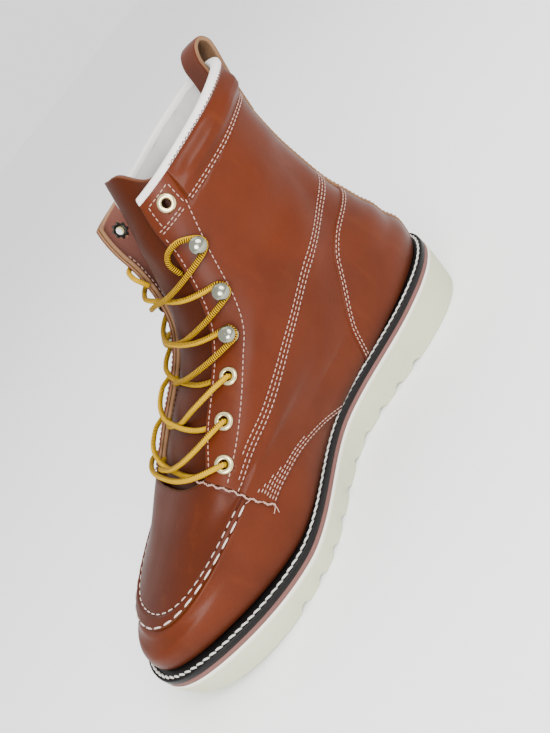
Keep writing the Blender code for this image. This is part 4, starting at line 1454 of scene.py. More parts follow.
@dataclass(frozen=True, eq=False)
class Panel:
    """Panel over one side of the upper, between a low and a high line of (turn, level) points."""

    name: str
    side: Side
    low: Array
    high: Array
    front: Optional[Array] = None
    start_y: float = HEEL_GAP
    thickness: float = 1.5
    columns: int = 120
    rows: int = 60
    rounded: tuple[bool, bool, bool, bool] = (True, True, True, True)
    swell: Optional[Form] = None
    punched: bool = False

    RIM = (0.0, 0.18, 0.42, 0.75, 1.2)
    ROUND = 1.0
    CUT_SHARE = 0.45
    SHORTEST = 12.0
    HEEL_STEPS = 60

    def spaced(self, length: Array, count: int) -> Array:
        """Shares along a length with a few points close to both ends.

        Args:
            length: Lengths, one for each line of points.
            count: Points along each.

        Returns:
            Shares from 0 to 1, one row for each point.
        """
        rim = np.array(self.RIM)[:, None] / np.maximum(length, self.SHORTEST)[None, :]
        inside = np.linspace(0.0, 1.0, count - 2 * len(rim) + 2)[1:-1, None]
        middle = rim[-1] + (1.0 - 2.0 * rim[-1]) * inside
        return np.vstack([rim, middle, 1.0 - rim[::-1]])

    def grid(self) -> tuple[Array, Array, Array]:
        """Turns and levels of the panel's points, and their distance to its rounded edges.

        Seen from the side the points fill the panel's four edges: the low and high lines joined straight,
        plus what the heel and front lines bend away from straight, fading across the panel.

        Returns:
            Turns without sign, levels and distances, each by row and column.
        """
        runs = [run_of(LAST.surface(*line.T)) for line in (self.low, self.high)]
        share = self.spaced(np.array([max(run[-1] for run in runs)]), self.columns)[:, 0]
        low, high = (side_view(at_run(line, run, share * run[-1]))
                     for line, run in zip((self.low, self.high), runs))
        rows = self.spaced(np.linalg.norm(high - low, axis=1), self.rows)
        seen = low + (high - low) * rows[..., None]
        levels = np.linspace(self.low[0, 1], self.high[0, 1], self.HEEL_STEPS)
        heel = np.stack([LAST.heel_turn(np.full(levels.shape, self.start_y), levels), levels], axis=-1)
        for line, weight in ((heel, 1.0 - share), (self.front, share)):
            if line is not None:
                flat = side_view(line)
                run = run_of(flat)
                straight = flat[0] + (flat[-1] - flat[0]) * rows[..., None]
                seen = seen + weight[None, :, None] * (at_run(flat, run, rows * run[-1]) - straight)
        turns, level = LAST.from_side(seen[..., 0], seen[..., 1])
        points = LAST.surface(turns, level)
        up, along = run_of(points), run_of(points, 1)
        ways = (up, up[-1:] - up, along, along[:, -1:] - along)
        chosen = [way for way, wanted in zip(ways, self.rounded) if wanted]
        return turns, level, np.min(chosen, axis=0)

    def body(self) -> Body:
        """Closed panel: its outer side rises from a rounded rim, and its inner side lies on the upper.

        Returns:
            The panel, with its burnish and painted shading near the welt and its cut edges.
        """
        turns, level, rim = self.grid()
        rounding = self.CUT_SHARE + (1.0 - self.CUT_SHARE) * quarter_round(rim / self.ROUND)
        high = PANEL_BASE + self.thickness * rounding
        if self.swell:
            high = high + self.swell(turns, level)
        signed = turns * self.side.value
        outer, inner = (LAST.lift(signed, level, height).reshape(-1, 3) for height in (high, PANEL_BASE))
        quads = grid_quads(*level.shape)
        if self.punched:
            quads = clear_of_eyelets(outer, quads, [self.side])
        made = shell(outer, inner, quads)
        kept = np.unique(quads)
        # Burnish with painted shading near the welt
        made.shade = np.tile(foot_burnish_and_painted_shade(level).ravel()[kept], 2)
        made.edge = made.edge * np.tile(rim.ravel()[kept] < self.ROUND / 2.0, 2)
        return made


# Darkening above the welt: burnished leather with painted shading under the roll of leather
BURNISH_AND_PAINTED_SHADE_MOST = 0.85
BURNISH_AND_PAINTED_SHADE_REACH = 0.5
FRONT_RISE = 0.9
FRONT_REACH = 5.0


def foot_burnish_and_painted_shade(level: Array) -> Array:
    """Darkening that gathers close above the welt: burnished leather with painted shading."""
    return BURNISH_AND_PAINTED_SHADE_MOST * bell(level / BURNISH_AND_PAINTED_SHADE_REACH)


def front_raise(turn: Array, level: Array) -> Array:
    """Rise of the quarters' cut front end over what lies under it: a bell of the side-view distance to it.

    Args:
        turn: Places round the boot.
        level: Heights by level.

    Returns:
        Rises.
    """
    line = curve(QUARTER_FRONT.points, 6)
    point = LAST.laced(np.abs(turn), level)
    away = np.hypot(point[..., 0, None] - line[:, 0], point[..., 2, None] - line[:, 1]).min(axis=-1)
    return FRONT_RISE * bell(away / FRONT_REACH)


MOC_BAND = 6.2
MOC_MORE = 2.0
MOC_TIP = 0.75


def moc_band(turn: Array) -> Array:
    """Width of the band between the two toe seams, which grows towards the tip."""
    return MOC_BAND + MOC_MORE * smooth((turn - MOC_TIP) / (1.0 - MOC_TIP))


class Fold(NamedTuple):
    """Upright fold of the lining: turn, half width in turns, and height, negative for a hollow."""

    turn: float
    width: float
    height: float


FOLDS = (Fold(-0.26, 0.030, -1.2), Fold(-0.33, 0.035, 0.9), Fold(-0.41, 0.035, -0.9), Fold(0.22, 0.035, 0.7),
         Fold(-0.15, 0.035, 0.8))
FOLD_SLANT = 0.03
FOLD_LEVEL = 9.0
LINE_STEPS = 200
COLLAR_GAP = 9.7


class Leg(NamedTuple):
    """Point of the binding's section: share from the lining to the outer face, further out, and up."""

    share: float
    out: float
    up: float


OUTER_LEG = (Leg(1.0, -0.3, -2.6), Leg(1.0, 0.0, -2.3), Leg(1.0, 0.1, -1.6), Leg(1.0, 0.05, -0.8))
INNER_LEG = (Leg(0.0, 0.0, -1.2), Leg(0.0, 0.0, -2.6), Leg(0.0, 0.3, -3.0), Leg(0.0, 0.9, -3.0),
             Leg(0.0, 0.9, -0.3), Leg(1.0, -0.9, -0.3), Leg(1.0, -0.9, -2.6))


@dataclass(frozen=True)
class UpperUnit:
    """Hollow upper with its lining, and the panels on it. Ridges are (height, level, reach in levels)."""

    wall: float = 2.2
    turn_steps: int = 168
    bare_turn: float = 0.69
    bare_level: float = 3.9
    ridge_turns: Step = (0.62, 0.03)
    ridges: tuple[tuple[float, float, float], ...] = ((1.1, 1.9, 0.11), (-0.35, 1.55, 0.16))
    lining_pad: float = 2.3
    lining_pad_levels: Plateau = (8.5, 0.6, 9.55, 0.45)
    lining_pad_turns: Step = (0.60, 0.1)
    fold_levels: Plateau = (6.5, 1.5, 9.7, 0.3)
    collar_end: float = 0.682
    collar_fade: float = 0.10
    collar_back: Step = (0.115, 0.09)
    collar_pad: float = 2.9
    collar_pad_shares: Plateau = (0.15, 0.25, 0.5, 0.33)
    collar_ripple: float = 0.25
    collar_waves: float = 41.0
    quarter_step: float = 1.2
    quarter_step_levels: Step = (0.03, 0.06)
    quarter_step_fade: float = 0.02
    underlap: float = 1.8
    apron_start: tuple[float, float] = (197.2, 51.0)
    apron_front: float = 0.86
    apron_top: float = 4.18
    apron_thick: float = 1.7
    apron_rim: float = 0.35
    apron_round: float = 1.1
    apron_edge: float = 0.35
    band_height: float = 0.9
    band_rise: float = 1.6
    band_back: float = 1.7
    band_fall: float = 1.2
    trough_depth: float = 0.75
    trough_reach: float = 0.8
    under_share: float = 0.25
    under_run: float = 5.0
    tab_turn: float = 0.835
    tab_share: float = 0.5
    tongue_turn: float = 0.73
    tongue_low: float = 3.1
    tongue_high: float = 10.95
    tongue_corner: float = 0.85
    tongue_corner_turns: Step = (0.72, 0.24)
    tongue_corner_levels: Step = (8.6, 2.2)
    tongue_front: float = -3.4
    tongue_back: float = -5.1
    tongue_puff: float = 0.9
    tongue_puff_turns: Step = (0.76, 0.16)
    tongue_wave: float = 0.4
    tongue_wave_turns: Step = (0.8, 0.2)
    tongue_wave_levels: Step = (5.0, 2.0)
    tongue_waves: float = 2.1
    tongue_crown: float = 2.6
    tongue_crown_levels: Plateau = (4.2, 1.0, 8.4, 1.4)
    binding_start: float = 0.845
    binding_end: float = -0.62
    binding_arch: float = 1.7

    def moc_ridge(self, turn: Array, level: Array) -> Array:
        """Ridge of the vamp just below the moc seam, only ahead of the quarters."""
        ahead = ramp(np.abs(turn), *self.ridge_turns)
        return ahead * sum(height * bell((level - middle) / reach) for height, middle, reach in self.ridges)

    def lining_depth(self, turn: Array, level: Array) -> Array:
        """Depth of the lining behind the surface: the wall, padding at the collar and soft upright folds.

        Args:
            turn: Places round the boot.
            level: Heights by level.

        Returns:
            Depths.
        """
        padding = self.lining_pad * plateau(level, *self.lining_pad_levels)
        padding = padding * (1.0 - ramp(np.abs(turn), *self.lining_pad_turns))
        slanted = turn + FOLD_SLANT * (level - FOLD_LEVEL)
        folds = sum(fold.height * bell((slanted - fold.turn) / fold.width) for fold in FOLDS)
        return self.wall + padding + folds * plateau(level, *self.fold_levels)

    def upper(self) -> None:
        """Vamp and shaft's wall: leather outside, white lining inside, bare hide behind the lace edges."""
        edge, foot = LAST.throat_edge, LAST.throat_level
        side = np.concatenate([np.linspace(0.0, edge, self.turn_steps, endpoint=False), [edge],
                               np.linspace(edge, 1.0, 28)[1:]])
        turns = np.concatenate([side, -side[-2:0:-1]])
        levels = np.concatenate([
            np.linspace(0.0, 1.5, 16, endpoint=False), np.linspace(1.5, 2.1, 14, endpoint=False),
            np.linspace(2.1, foot, 16, endpoint=False), np.linspace(foot, TOP_LEVEL, 62),
        ])
        turn, level = turns[None, :], levels[:, None]
        outer = LAST.lift(turn, level, self.moc_ridge(turn, level)).reshape(-1, 3)
        inner = LAST.lift(turn, level, -self.lining_depth(turn, level)).reshape(-1, 3)
        quads = grid_quads(len(levels), len(turns), True)
        row, column = np.divmod(quads[:, 0], len(turns))
        after = (column + 1) % len(turns)
        ahead = np.minimum(np.abs(turns[column]), np.abs(turns[after])) > edge - TINY
        throat = ahead & (levels[row] > foot - TINY)
        quads = clear_of_eyelets(outer, quads[~throat], list(Side))
        made = shell(outer, inner, quads)
        # Burnish with painted shading near the welt
        shade = np.broadcast_to(foot_burnish_and_painted_shade(level), (len(levels), len(turns))).ravel()
        made.shade = np.tile(shade[np.unique(quads)], 2)
        made.finish_of = self.inside_finish(made, quads, turns, levels)
        place("upper_wall", made, [LEATHER, LINING, FLESH], Slot.LEATHER, ["upper"])

    def inside_finish(self, made: Body, quads: Array, turns: Array, levels: Array) -> Array:
        """Finish of each face: leather outside and on cut edges, lining inside, hide at the flaps.

        Args:
            made: The wall.
            quads: Its outer faces, on the grid.
            turns: Turns of the grid's columns.
            levels: Levels of its rows.

        Returns:
            Finish numbers.
        """
        row, column = np.divmod(quads[:, 0], len(turns))
        bare = (np.abs(turns[column]) > self.bare_turn) & (levels[row] > self.bare_level)
        strips = len(made.quads) - 2 * len(quads)
        return np.concatenate([np.zeros(len(quads), int), np.where(bare, 2, 1), np.zeros(strips, int)])

    def quarter_thin(self, turn: Array, level: Array) -> Array:
        """Step down of the quarter where it goes under the padded collar, and up where it lies on the apron.

        Args:
            turn: Places round the boot.
            level: Heights by level.

        Returns:
            Changes of height.
        """
        fade = self.quarter_step_fade
        under = ramp(level - COLLAR_LINE.level_at(turn), *self.quarter_step_levels)
        under = under * (1.0 - ramp(turn, self.collar_end - fade, fade))
        return front_raise(turn, level) - self.quarter_step * under

    def lower_low(self) -> Array:
        """Lower edge of the lower quarter: under the counter, along the welt and up the wing."""
        line = np.vstack([from_heel(COUNTER_LINE.line(-self.underlap)), WING_LINE.line()])
        return np.stack([line[:, 0], np.maximum(line[:, 1], FOOT_LEVEL)], axis=-1)

    def counter_lines(self) -> tuple[Array, Array]:
        """Edges of the counter.

        Returns:
            Its foot along the welt, and its upper edge down to the welt at its front.
        """
        high = from_heel(COUNTER_LINE.line())
        high[:, 1] = np.maximum(high[:, 1], FOOT_LEVEL + 0.02)
        return self.level_line(FOOT_LEVEL, float(high[-1, 0])), high

    def level_line(self, level: float, end: float, y: float = HEEL_GAP) -> Array:
        """Line along one level from a sideways distance at the heel to a turn."""
        turns = np.linspace(0.0, end, LINE_STEPS)
        return from_heel(np.stack([turns, np.full(LINE_STEPS, level)], axis=-1), y)

    def collar_swell(self, turn: Array, level: Array) -> Array:
        """Padding of the collar: flat along the sewn rim, then a full cushion, lower at the top and front.

        Args:
            turn: Places round the boot.
            level: Heights by level.

        Returns:
            Heights of the padding.
        """
        line = COLLAR_LINE.level_at(turn)
        part = np.clip((level - line) / np.maximum(TOP_LEVEL - line, 0.2), 0.0, 1.0)
        cushion = plateau(part, *self.collar_pad_shares)
        ends = smooth((self.collar_end - turn) / self.collar_fade) * ramp(turn, *self.collar_back)
        return (self.collar_pad + self.collar_ripple * np.sin(turn * self.collar_waves)) * cushion * ends

    def shapes(self, side: Side) -> tuple[Panel, ...]:
        """Panels of one side.

        Args:
            side: The side.

        Returns:
            Quarter, lower quarter, counter and collar half.
        """
        nose = QUARTER_NOSE.line()
        nose = nose[nose[:, 0] < LAST.throat_edge - 0.01]
        throat = np.linspace(nose[-1, 1] + 0.1, TOP_LEVEL, 80)
        front = np.vstack([nose, np.stack([np.full(throat.shape, LAST.throat_edge), throat], axis=-1)])
        collar = from_heel(COLLAR_LINE.line(), COLLAR_GAP)
        collar = collar[collar[:, 0] < self.collar_end]
        collar_high = self.level_line(TOP_LEVEL - 0.03, self.collar_end, COLLAR_GAP)
        return (
            Panel("quarter", side, from_heel(QUARTER_SEAM.line()),
                  self.level_line(TOP_LEVEL, LAST.throat_edge), front, thickness=QUARTER_TOP - PANEL_BASE,
                  columns=190, rows=84, swell=self.quarter_thin, punched=True),
            Panel("lower_quarter", side, self.lower_low(), from_heel(QUARTER_SEAM.line(1.5)),
                  WING_END.line(), thickness=WING_TOP - PANEL_BASE, columns=170, rows=48, swell=front_raise,
                  rounded=(True, False, False, True)),
            Panel("counter", side, *self.counter_lines(), thickness=COUNTER_TOP - PANEL_BASE, rows=50,
                  rounded=(False, True, False, False)),
            Panel("collar", side, collar, collar_high, start_y=COLLAR_GAP, thickness=COLLAR_TOP - PANEL_BASE,
                  columns=110, rows=40, swell=self.collar_swell, rounded=(True, False, True, True)),
        )

    def panels(self) -> None:
        """Makes the panels of both sides."""
        for side in Side:
            for shape in self.shapes(side):
                piece = place(f"{shape.name}_panel_{side.label}", shape.body(), [LEATHER], Slot.LEATHER,
                              [f"{shape.name}_{side.label}"])

    def apron_high(self, turn: Array) -> Array:
        """Rear edge of the apron: the quarters' front edge, then the throat's foot."""
        tip = QUARTER_FRONT.line()[:, 0].max()
        return np.minimum(QUARTER_FRONT.level_at(np.minimum(turn, tip)) + 0.07, self.apron_top)

    def apron(self) -> None:
        """Raised moc-toe piece: a band between two seams round its edge, and a crowned middle."""
        start, _ = LAST.spot(*self.apron_start)
        half = np.concatenate([np.linspace(start, self.apron_front, 56, endpoint=False),
                               np.linspace(self.apron_front, 1.0, 50)])
        turns = np.concatenate([half, 2.0 - half[-2::-1]])
        folded = np.abs(wrapped(turns))
        high = np.maximum(self.apron_high(folded), MOC_LEVEL + 0.05)
        share = np.concatenate([np.linspace(0.0, 0.45, 40, endpoint=False), np.linspace(0.45, 1.0, 24)])
        level = MOC_LEVEL + (high - MOC_LEVEL)[None, :] * share[:, None]
        turn = np.broadcast_to(turns, level.shape)
        up = run_of(LAST.surface(turn, level))
        rear, seam = up[-1:] - up, moc_band(folded)[None, :]
        rim = self.apron_rim + (1.0 - self.apron_rim) * quarter_round(up / self.apron_round)
        band = self.band_height * plateau(up, 0.0, self.band_rise, seam - self.band_back, self.band_fall)
        trough = self.trough_depth * bell((up - seam) / self.trough_reach)
        under = self.under_share + (1.0 - self.under_share) * smooth(rear / self.under_run)
        tab = self.tab_share + (1.0 - self.tab_share) * quarter_round(rear)
        behind = np.where((folded < self.tab_turn)[None, :], under, tab)
        high = PANEL_BASE + (self.apron_thick * rim + band - trough) * behind
        made = sheet(turn, level, high, PANEL_BASE)
        made.edge = made.edge * self.apron_edge
        # The apron's darker leather is painted shading
        place("apron_piece", made, [APRON_PAINTED_SHADING_LEATHER], Slot.LEATHER, ["apron"])

    def tongue(self) -> None:
        """Tongue behind the throat: a soft sheet on the laced form, with a rounded top edge."""
        turns = np.linspace(self.tongue_turn, 2.0 - self.tongue_turn, 84)[None, :]
        levels = np.linspace(self.tongue_low, self.tongue_high, 110)[:, None]
        folded = np.abs(wrapped(turns))
        corner = 1.0 - ramp(folded, *self.tongue_corner_turns)
        level = levels - self.tongue_corner * corner * ramp(levels, *self.tongue_corner_levels)
        wave = self.tongue_wave * np.sin(levels * self.tongue_waves) * ramp(folded, *self.tongue_wave_turns)
        puff = self.tongue_puff * ramp(folded, *self.tongue_puff_turns)
        puff = puff + wave * ramp(levels, *self.tongue_wave_levels)
        between = ramp(folded, LAST.throat_edge, 1.0 - LAST.throat_edge)
        crown = self.tongue_crown * between * plateau(levels, *self.tongue_crown_levels)
        turn = np.broadcast_to(turns, level.shape)
        made = sheet(turn, level, self.tongue_front + puff + crown, self.tongue_back + crown, LAST.laced)
        place("tongue_leaf", made, [TONGUE_LEATHER, LINING, TONGUE_LEATHER], Slot.LEATHER, ["tongue"])

    def binding(self) -> None:
        """White roll over the topline: a flat arch from outer face to lining, with a leg down each side."""
        turns = np.concatenate([np.linspace(self.binding_start, 0.0, 150, endpoint=False),
                                np.linspace(0.0, self.binding_end, 125)])
        level = np.full(len(turns), TOP_LEVEL)
        base, out = LAST.surface(turns, level), LAST.normal(turns, level)
        up = unit(base - LAST.surface(turns, level - 0.05))
        outer, inner = self.topline(turns)[:, None] + 0.35, -self.wall - 0.45
        angle = np.linspace(0.0, np.pi, 13)
        rise = self.binding_arch * np.sin(angle)
        arch = np.stack([(1.0 + np.cos(angle)) / 2.0, np.zeros(angle.shape), rise], axis=-1)
        rows = np.vstack([OUTER_LEG, arch, INNER_LEG])
        sideways = inner + (outer - inner) * rows[None, :, 0] + rows[None, :, 1]
        points = base[:, None] + sideways[..., None] * out[:, None] + rows[None, :, 2:] * up[:, None]
        count, columns = points.shape[:2]
        flat = points.reshape(-1, 3)
        core = base + (outer + inner) / 2.0 * out + 0.6 * up
        quads = facing(flat, grid_quads(count, columns, True), flat - np.repeat(core, columns, axis=0))
        ring = np.arange(columns)
        caps = np.vstack([self.fan(ring), self.fan(ring + (count - 1) * columns)[:, ::-1]])
        place("collar_binding", Body(flat, quads, caps), [BINDING], Slot.LINING)

    def topline(self, turn: Array) -> Array:
        """Height over the upper of the panel that ends at the topline: the collar, then the quarter."""
        ahead = smooth((np.abs(turn) - self.collar_end + 0.01) / 0.02)
        return COLLAR_TOP + (QUARTER_TOP - COLLAR_TOP) * ahead

    def fan(self, ring: Array) -> Array:
        """Triangles that close the end of the binding, folded from its first point."""
        return np.stack([np.full(len(ring) - 2, ring[0]), ring[1:-1], ring[2:]], axis=-1)

    def build(self) -> None:
        """Makes the upper's pieces."""
        self.upper()
        self.panels()
        self.apron()
        self.tongue()
        self.binding()


@dataclass(frozen=True)
class HeelStrip:
    """Backstay up the heel seam and the pull loop over the collar's back."""

    half_width: float = 13.0
    rim: tuple[float, ...] = (0.0, 0.15, 0.4, 0.75, 1.2)
    top_height: float = 163.0
    thickness: float = 3.2
    loop_half_width: float = 9.5
    loop_rim: tuple[float, ...] = (0.0, 0.12, 0.35, 0.7)
    loop_thick: float = 2.5
    loop_sag: float = 0.5
    sag_run: float = 46.0
    sag_reach: float = 9.0
    loop_path: Rows = ((17.2, 161.0), (13.4, 176.0), (9.4, 188.0), (6.0, 198.0), (5.6, 203.0), (8.8, 206.6),
                       (13.6, 205.4), (17.4, 200.0), (19.2, 191.0), (22.0, 180.0))

    def across(self, rim: Sequence[float], half: float, count: int) -> Array:
        """Sideways places from edge to edge, close together along both rims."""
        side = np.concatenate([rim, np.linspace(rim[-1], half, count)[1:]])
        return np.concatenate([side - half, (half - side)[::-1][1:]])

    def strip(self) -> None:
        """Strip of even width on the heel, with rounded raw edges."""
        _, top = LAST.spot(0.0, self.top_height)
        level = np.linspace(FOOT_LEVEL, top, 120)[:, None]
        y, level = np.broadcast_arrays(self.across(self.rim, self.half_width, 9)[None, :], level)
        from_edge = self.half_width - np.abs(y)
        high = PANEL_BASE + self.thickness * (0.75 + 0.25 * quarter_round(from_edge))
        made = sheet(LAST.heel_turn(y, level), level, high, PANEL_BASE)
        raw = 1.0 - smooth((from_edge - 0.7) / 0.6)
        made.edge = np.concatenate([raw.ravel(), np.ones(raw.size)])
        place("backstay_strip", made, [LEATHER], Slot.LEATHER, ["backstay"])

    def loop(self) -> None:
        """Turned-over end of the strip: its middle line carried across, leather outside, raw hide inside."""
        path = curve(self.loop_path, 14)
        out = left_of(unit(np.gradient(path, axis=0)))
        y = self.across(self.loop_rim, self.loop_half_width, 10)
        rounding = quarter_round((self.loop_half_width - np.abs(y)) / 0.6)
        half = self.loop_thick / 2.0 * (0.55 + 0.45 * rounding)
        sag = self.loop_sag * (1.0 - (y / self.loop_half_width) ** 2)
        soft = bell((run_of(path) - self.sag_run) / self.sag_reach)[:, None] * sag[None, :]
        sheets = []
        for sign in (1.0, -1.0):
            away = sign * half[None, :] + soft
            x, z = (path[:, k:k + 1] + away * out[:, k:k + 1] for k in range(2))
            sheets.append(np.stack([x, np.broadcast_to(y, x.shape), z], axis=-1).reshape(-1, 3))
        made = shell(*sheets, grid_quads(len(path), len(y)))
        place("pull_loop_strip", made, [LEATHER, SUEDE_TAN, SUEDE_TAN], Slot.LEATHER, ["pull_loop"])

    def build(self) -> None:
        """Makes the strip and its loop."""
        self.strip()
        self.loop()


@dataclass(frozen=True)
class Fastenings:
    """Eyelets with clinched backs, and lace hooks. Profiles are (radius, height over the seat)."""

    steps: int = 40
    flange: Rows = ((2.35, 0.2), (2.55, 0.85), (3.3, 1.15), (4.3, 0.95), (4.95, 0.35), (4.9, 0.02))
    barrel: Rows = ((3.0, -0.05), (3.0, -4.5), (4.3, -4.75), (4.6, -5.0), (4.3, -5.25), (3.0, -5.15),
                    (2.4, -4.6))
    scallop: tuple[float, ...] = (0.0, 0.0, 0.12, 0.14, 0.12, 0.03, 0.0)
    dome: Rows = ((0.05, 8.4), (1.6, 8.25), (3.1, 7.75), (4.25, 6.8), (4.6, 6.2), (4.3, 5.75), (3.0, 5.5),
                  (1.75, 5.2))
    foot: Rows = ((1.6, 4.2), (1.6, 1.6), (2.1, 1.0), (3.6, 0.7), (4.2, 0.35), (4.2, -0.45), (0.05, -0.5))

    def eyelet(self, row: Fastening, side: Side) -> None:
        """Eyelet: a rounded flange outside, a barrel, and a scalloped clinch inside, turned in one piece.

        Args:
            row: The fastening.
            side: Side of the boot.
        """
        base, out, _ = seat_of(row, side, QUARTER_TOP)
        flange = curve(self.flange, 4)
        ripple = np.concatenate([np.zeros(len(flange)), self.scallop])
        body = lathe(np.vstack([flange, self.barrel]), base, out, self.steps, ripple)
        ring_of = body.quads.min(axis=1) % len(ripple)
        body.finish_of = np.where((ring_of > len(flange)) & (ring_of < len(ripple) - 1), 1, 0)
        name = f"{row.name}_{side.label}"
        place(f"{name}_ring", body, [BRASS, DARK_METAL], Slot.METAL, [name])

    def hook(self, row: Fastening, side: Side) -> None:
        """Lace hook: a base washer, a neck and a domed head, turned in one piece.

        Args:
            row: The fastening.
            side: Side of the boot.
        """
        base, out, _ = seat_of(row, side, SEAT_HEIGHT)
        body = lathe(np.vstack([curve(self.dome, 4), curve(self.foot, 3)]), base, out, self.steps)
        name = f"{row.name}_{side.label}"
        place(f"{name}_stud", body, [NICKEL], Slot.METAL, [name])

    def build(self) -> None:
        """Makes every fastening of both sides."""
        for side, row in product(Side, FASTENINGS):
            maker = self.hook if row.kind is Kind.HOOK else self.eyelet
            maker(row, side)


class LaceEnd(NamedTuple):
    """Point of a lace end: share of the hook's place across, level from the hook's, height."""

    across: float
    level: float
    height: float


@dataclass(frozen=True)
class LaceUnit:
    """One round lace: bar, crossings and the two turned-back ends."""

    radius: float = 1.5
    height: float = 6.0
    low_height: float = -1.3
    pass_level: float = 0.17
    edge_level: float = 0.18
    edge_turn: float = -0.014
    level_share: float = 0.23
    wrap: float = 3.65
    wrap_steps: int = 9
    steps: int = 36
    skip: int = 4
    over: float = 1.7
    over_reach: float = 0.075
    step: float = 1.0
    passes: int = 3
    hole_heights: tuple[float, ...] = (-3.5, -1.0, 1.5, 3.4)
    bar_rise: float = 0.28
    bar_sink: float = 1.0
    ends: tuple[LaceEnd, ...] = (
        LaceEnd(1.00, 0.19, 6.0), LaceEnd(0.80, 0.37, 6.0), LaceEnd(0.56, 0.33, 4.6),
        LaceEnd(0.43, 0.10, 3.0), LaceEnd(0.46, -0.17, -0.3),
    )

    def points(self, across: Array, level: Array, height: Array) -> Array:
        """Points over the boot's front: across is 0 on the middle line and grows to each side."""
        turn = np.where(across >= 0.0, 1.0, -1.0) * (1.0 - np.abs(across))
        return LAST.surface(turn, level) + height[:, None] * LAST.normal(turn, level)

    def across_of(self, row: Fastening, side: Side) -> float:
        """Sideways place of a fastening's axis."""
        return side.value * (1.0 - abs(LAST.inset_turn(row.level, side, EYELET_INSET)))

    def round_hook(self, row: Fastening, side: Side, start: float, end: float) -> Array:
        """Arc round a hook's neck: angle 0 is above it and 90 degrees away from the throat.

        Args:
            row: The hook.
            side: Side of the boot.
            start: First angle.
            end: Last angle.

        Returns:
            Points along the arc.
        """
        middle, out, turn = seat_of(row, side, self.height)
        at = np.array(turn)
        up = unit(LAST.surface(at, row.level + 0.02) - LAST.surface(at, row.level - 0.02))
        away = np.cross(out, up) * -side.value
        angle = np.radians(np.linspace(start, end, self.wrap_steps))[:, None]
        return middle + self.wrap * (np.cos(angle) * up + np.sin(angle) * away)

    def out_of_eyelet(self, row: Fastening, side: Side) -> Array:
        """Points from inside an eyelet's hole up to just above its rim."""
        middle, out, _ = seat_of(row, side, 0.0)
        return middle + np.array(self.hole_heights)[:, None] * out

    def strand(self, side: Side, high: Fastening, low: Fastening, over: float) -> Array:
        """Strand from the upper fastening on one side down to the lower one on the other.

        Args:
            side: Side of the upper fastening.
            high: The upper fastening.
            low: The lower one.
            over: How far it is raised where it crosses the other strand.

        Returns:
            Points along its middle.
        """
        other = Side(-side.value)
        hooked = high.kind is Kind.HOOK
        above, start = high.level - (self.pass_level if hooked else 0.0), self.across_of(high, side)
        below, end, end_height = low.level + self.pass_level, self.across_of(low, other), self.height
        if low.kind is Kind.EYELET:
            below, end_height = low.level + self.edge_level, self.low_height
            end = other.value * (1.0 - LAST.throat_edge - self.edge_turn)
        part = np.linspace(0.0, 1.0, self.steps)
        lowered = smooth((part - self.level_share) / (1.0 - self.level_share))
        across = start + (end - start) * part
        heights = self.height + (end_height - self.height) * lowered + over * bell(across / self.over_reach)
        path = self.points(across, above + (below - above) * part, heights)
        if hooked:
            route = [self.round_hook(high, side, 90.0, 180.0)[:-1], path]
        else:
            route = [self.out_of_eyelet(high, side), path[self.skip:]]
        if low.kind is Kind.HOOK:
            route.append(self.round_hook(low, other, 0.0, 90.0)[1:])
        return self.even(np.vstack(route))

    def even(self, path: Array) -> Array:
        """Path set to even steps and smoothed.

        Args:
            path: Points along it.

        Returns:
            Points of the smooth path.
        """
        run = run_of(path)
        path = at_run(path, run, np.linspace(0.0, run[-1], int(run[-1] / self.step)))
        for _ in range(self.passes):
            path[1:-1] = 0.25 * path[:-2] + 0.5 * path[1:-1] + 0.25 * path[2:]
        return path

    def crossings(self) -> None:
        """Two strands between each pair of fastenings, one over the other in turn."""
        laced = FASTENINGS[1:]
        for number, (high, low) in enumerate(zip(laced, laced[1:])):
            lift = self.over if number % 2 == 0 else -self.over
            strands = [tube(self.strand(side, high, low, lift * side.value), self.radius) for side in Side]
            place(f"lace_crossing_{high.name}", joined(strands), [LACE], Slot.LACE,
                  [f"lace_cross_{high.name}"])

    def bar(self) -> None:
        """Bar across the lowest eyelets, going down into both."""
        lowest = FASTENINGS[-1]
        ends = [self.across_of(lowest, side) for side in Side]
        across = np.linspace(*ends, self.steps)
        middle = 1.0 - (across / ends[0]) ** 2
        level = lowest.level + self.bar_rise * middle
        path = self.points(across, level, self.height - self.bar_sink * middle)
        start, end = (self.out_of_eyelet(lowest, side) for side in Side)
        path = self.even(np.vstack([start, path[self.skip:-self.skip], end[::-1]]))
        place("lace_bar_strand", tube(path, self.radius), [LACE], Slot.LACE, ["lace_bar"])

    def turned_back(self, side: Side) -> None:
        """Free end: from the top hook over the tongue and back behind the front edge.

        Args:
            side: Side of the hook.
        """
        top = FASTENINGS[1]
        reach = self.across_of(top, side)
        rows = curve([(reach * row.across, top.level + row.level, row.height) for row in self.ends], 10)
        hooked = self.round_hook(top, side, 90.0, 0.0)[:-1]
        path = self.even(np.vstack([hooked, self.points(*rows.T)]))
        name = f"lace_end_{side.label}"
        piece = place(f"{name}_cord", tube(path, self.radius), [LACE], Slot.LACE, [name])

    def build(self) -> None:
        """Makes the whole lace, ends first."""
        for side in Side:
            self.turned_back(side)
        self.crossings()
        self.bar()


class SeamRow(NamedTuple):
    """Row of stitches beside a seam: distance to the left of its way, height, first and last turn."""

    seam: Seam
    offset: float
    height: float
    start: float
    end: float


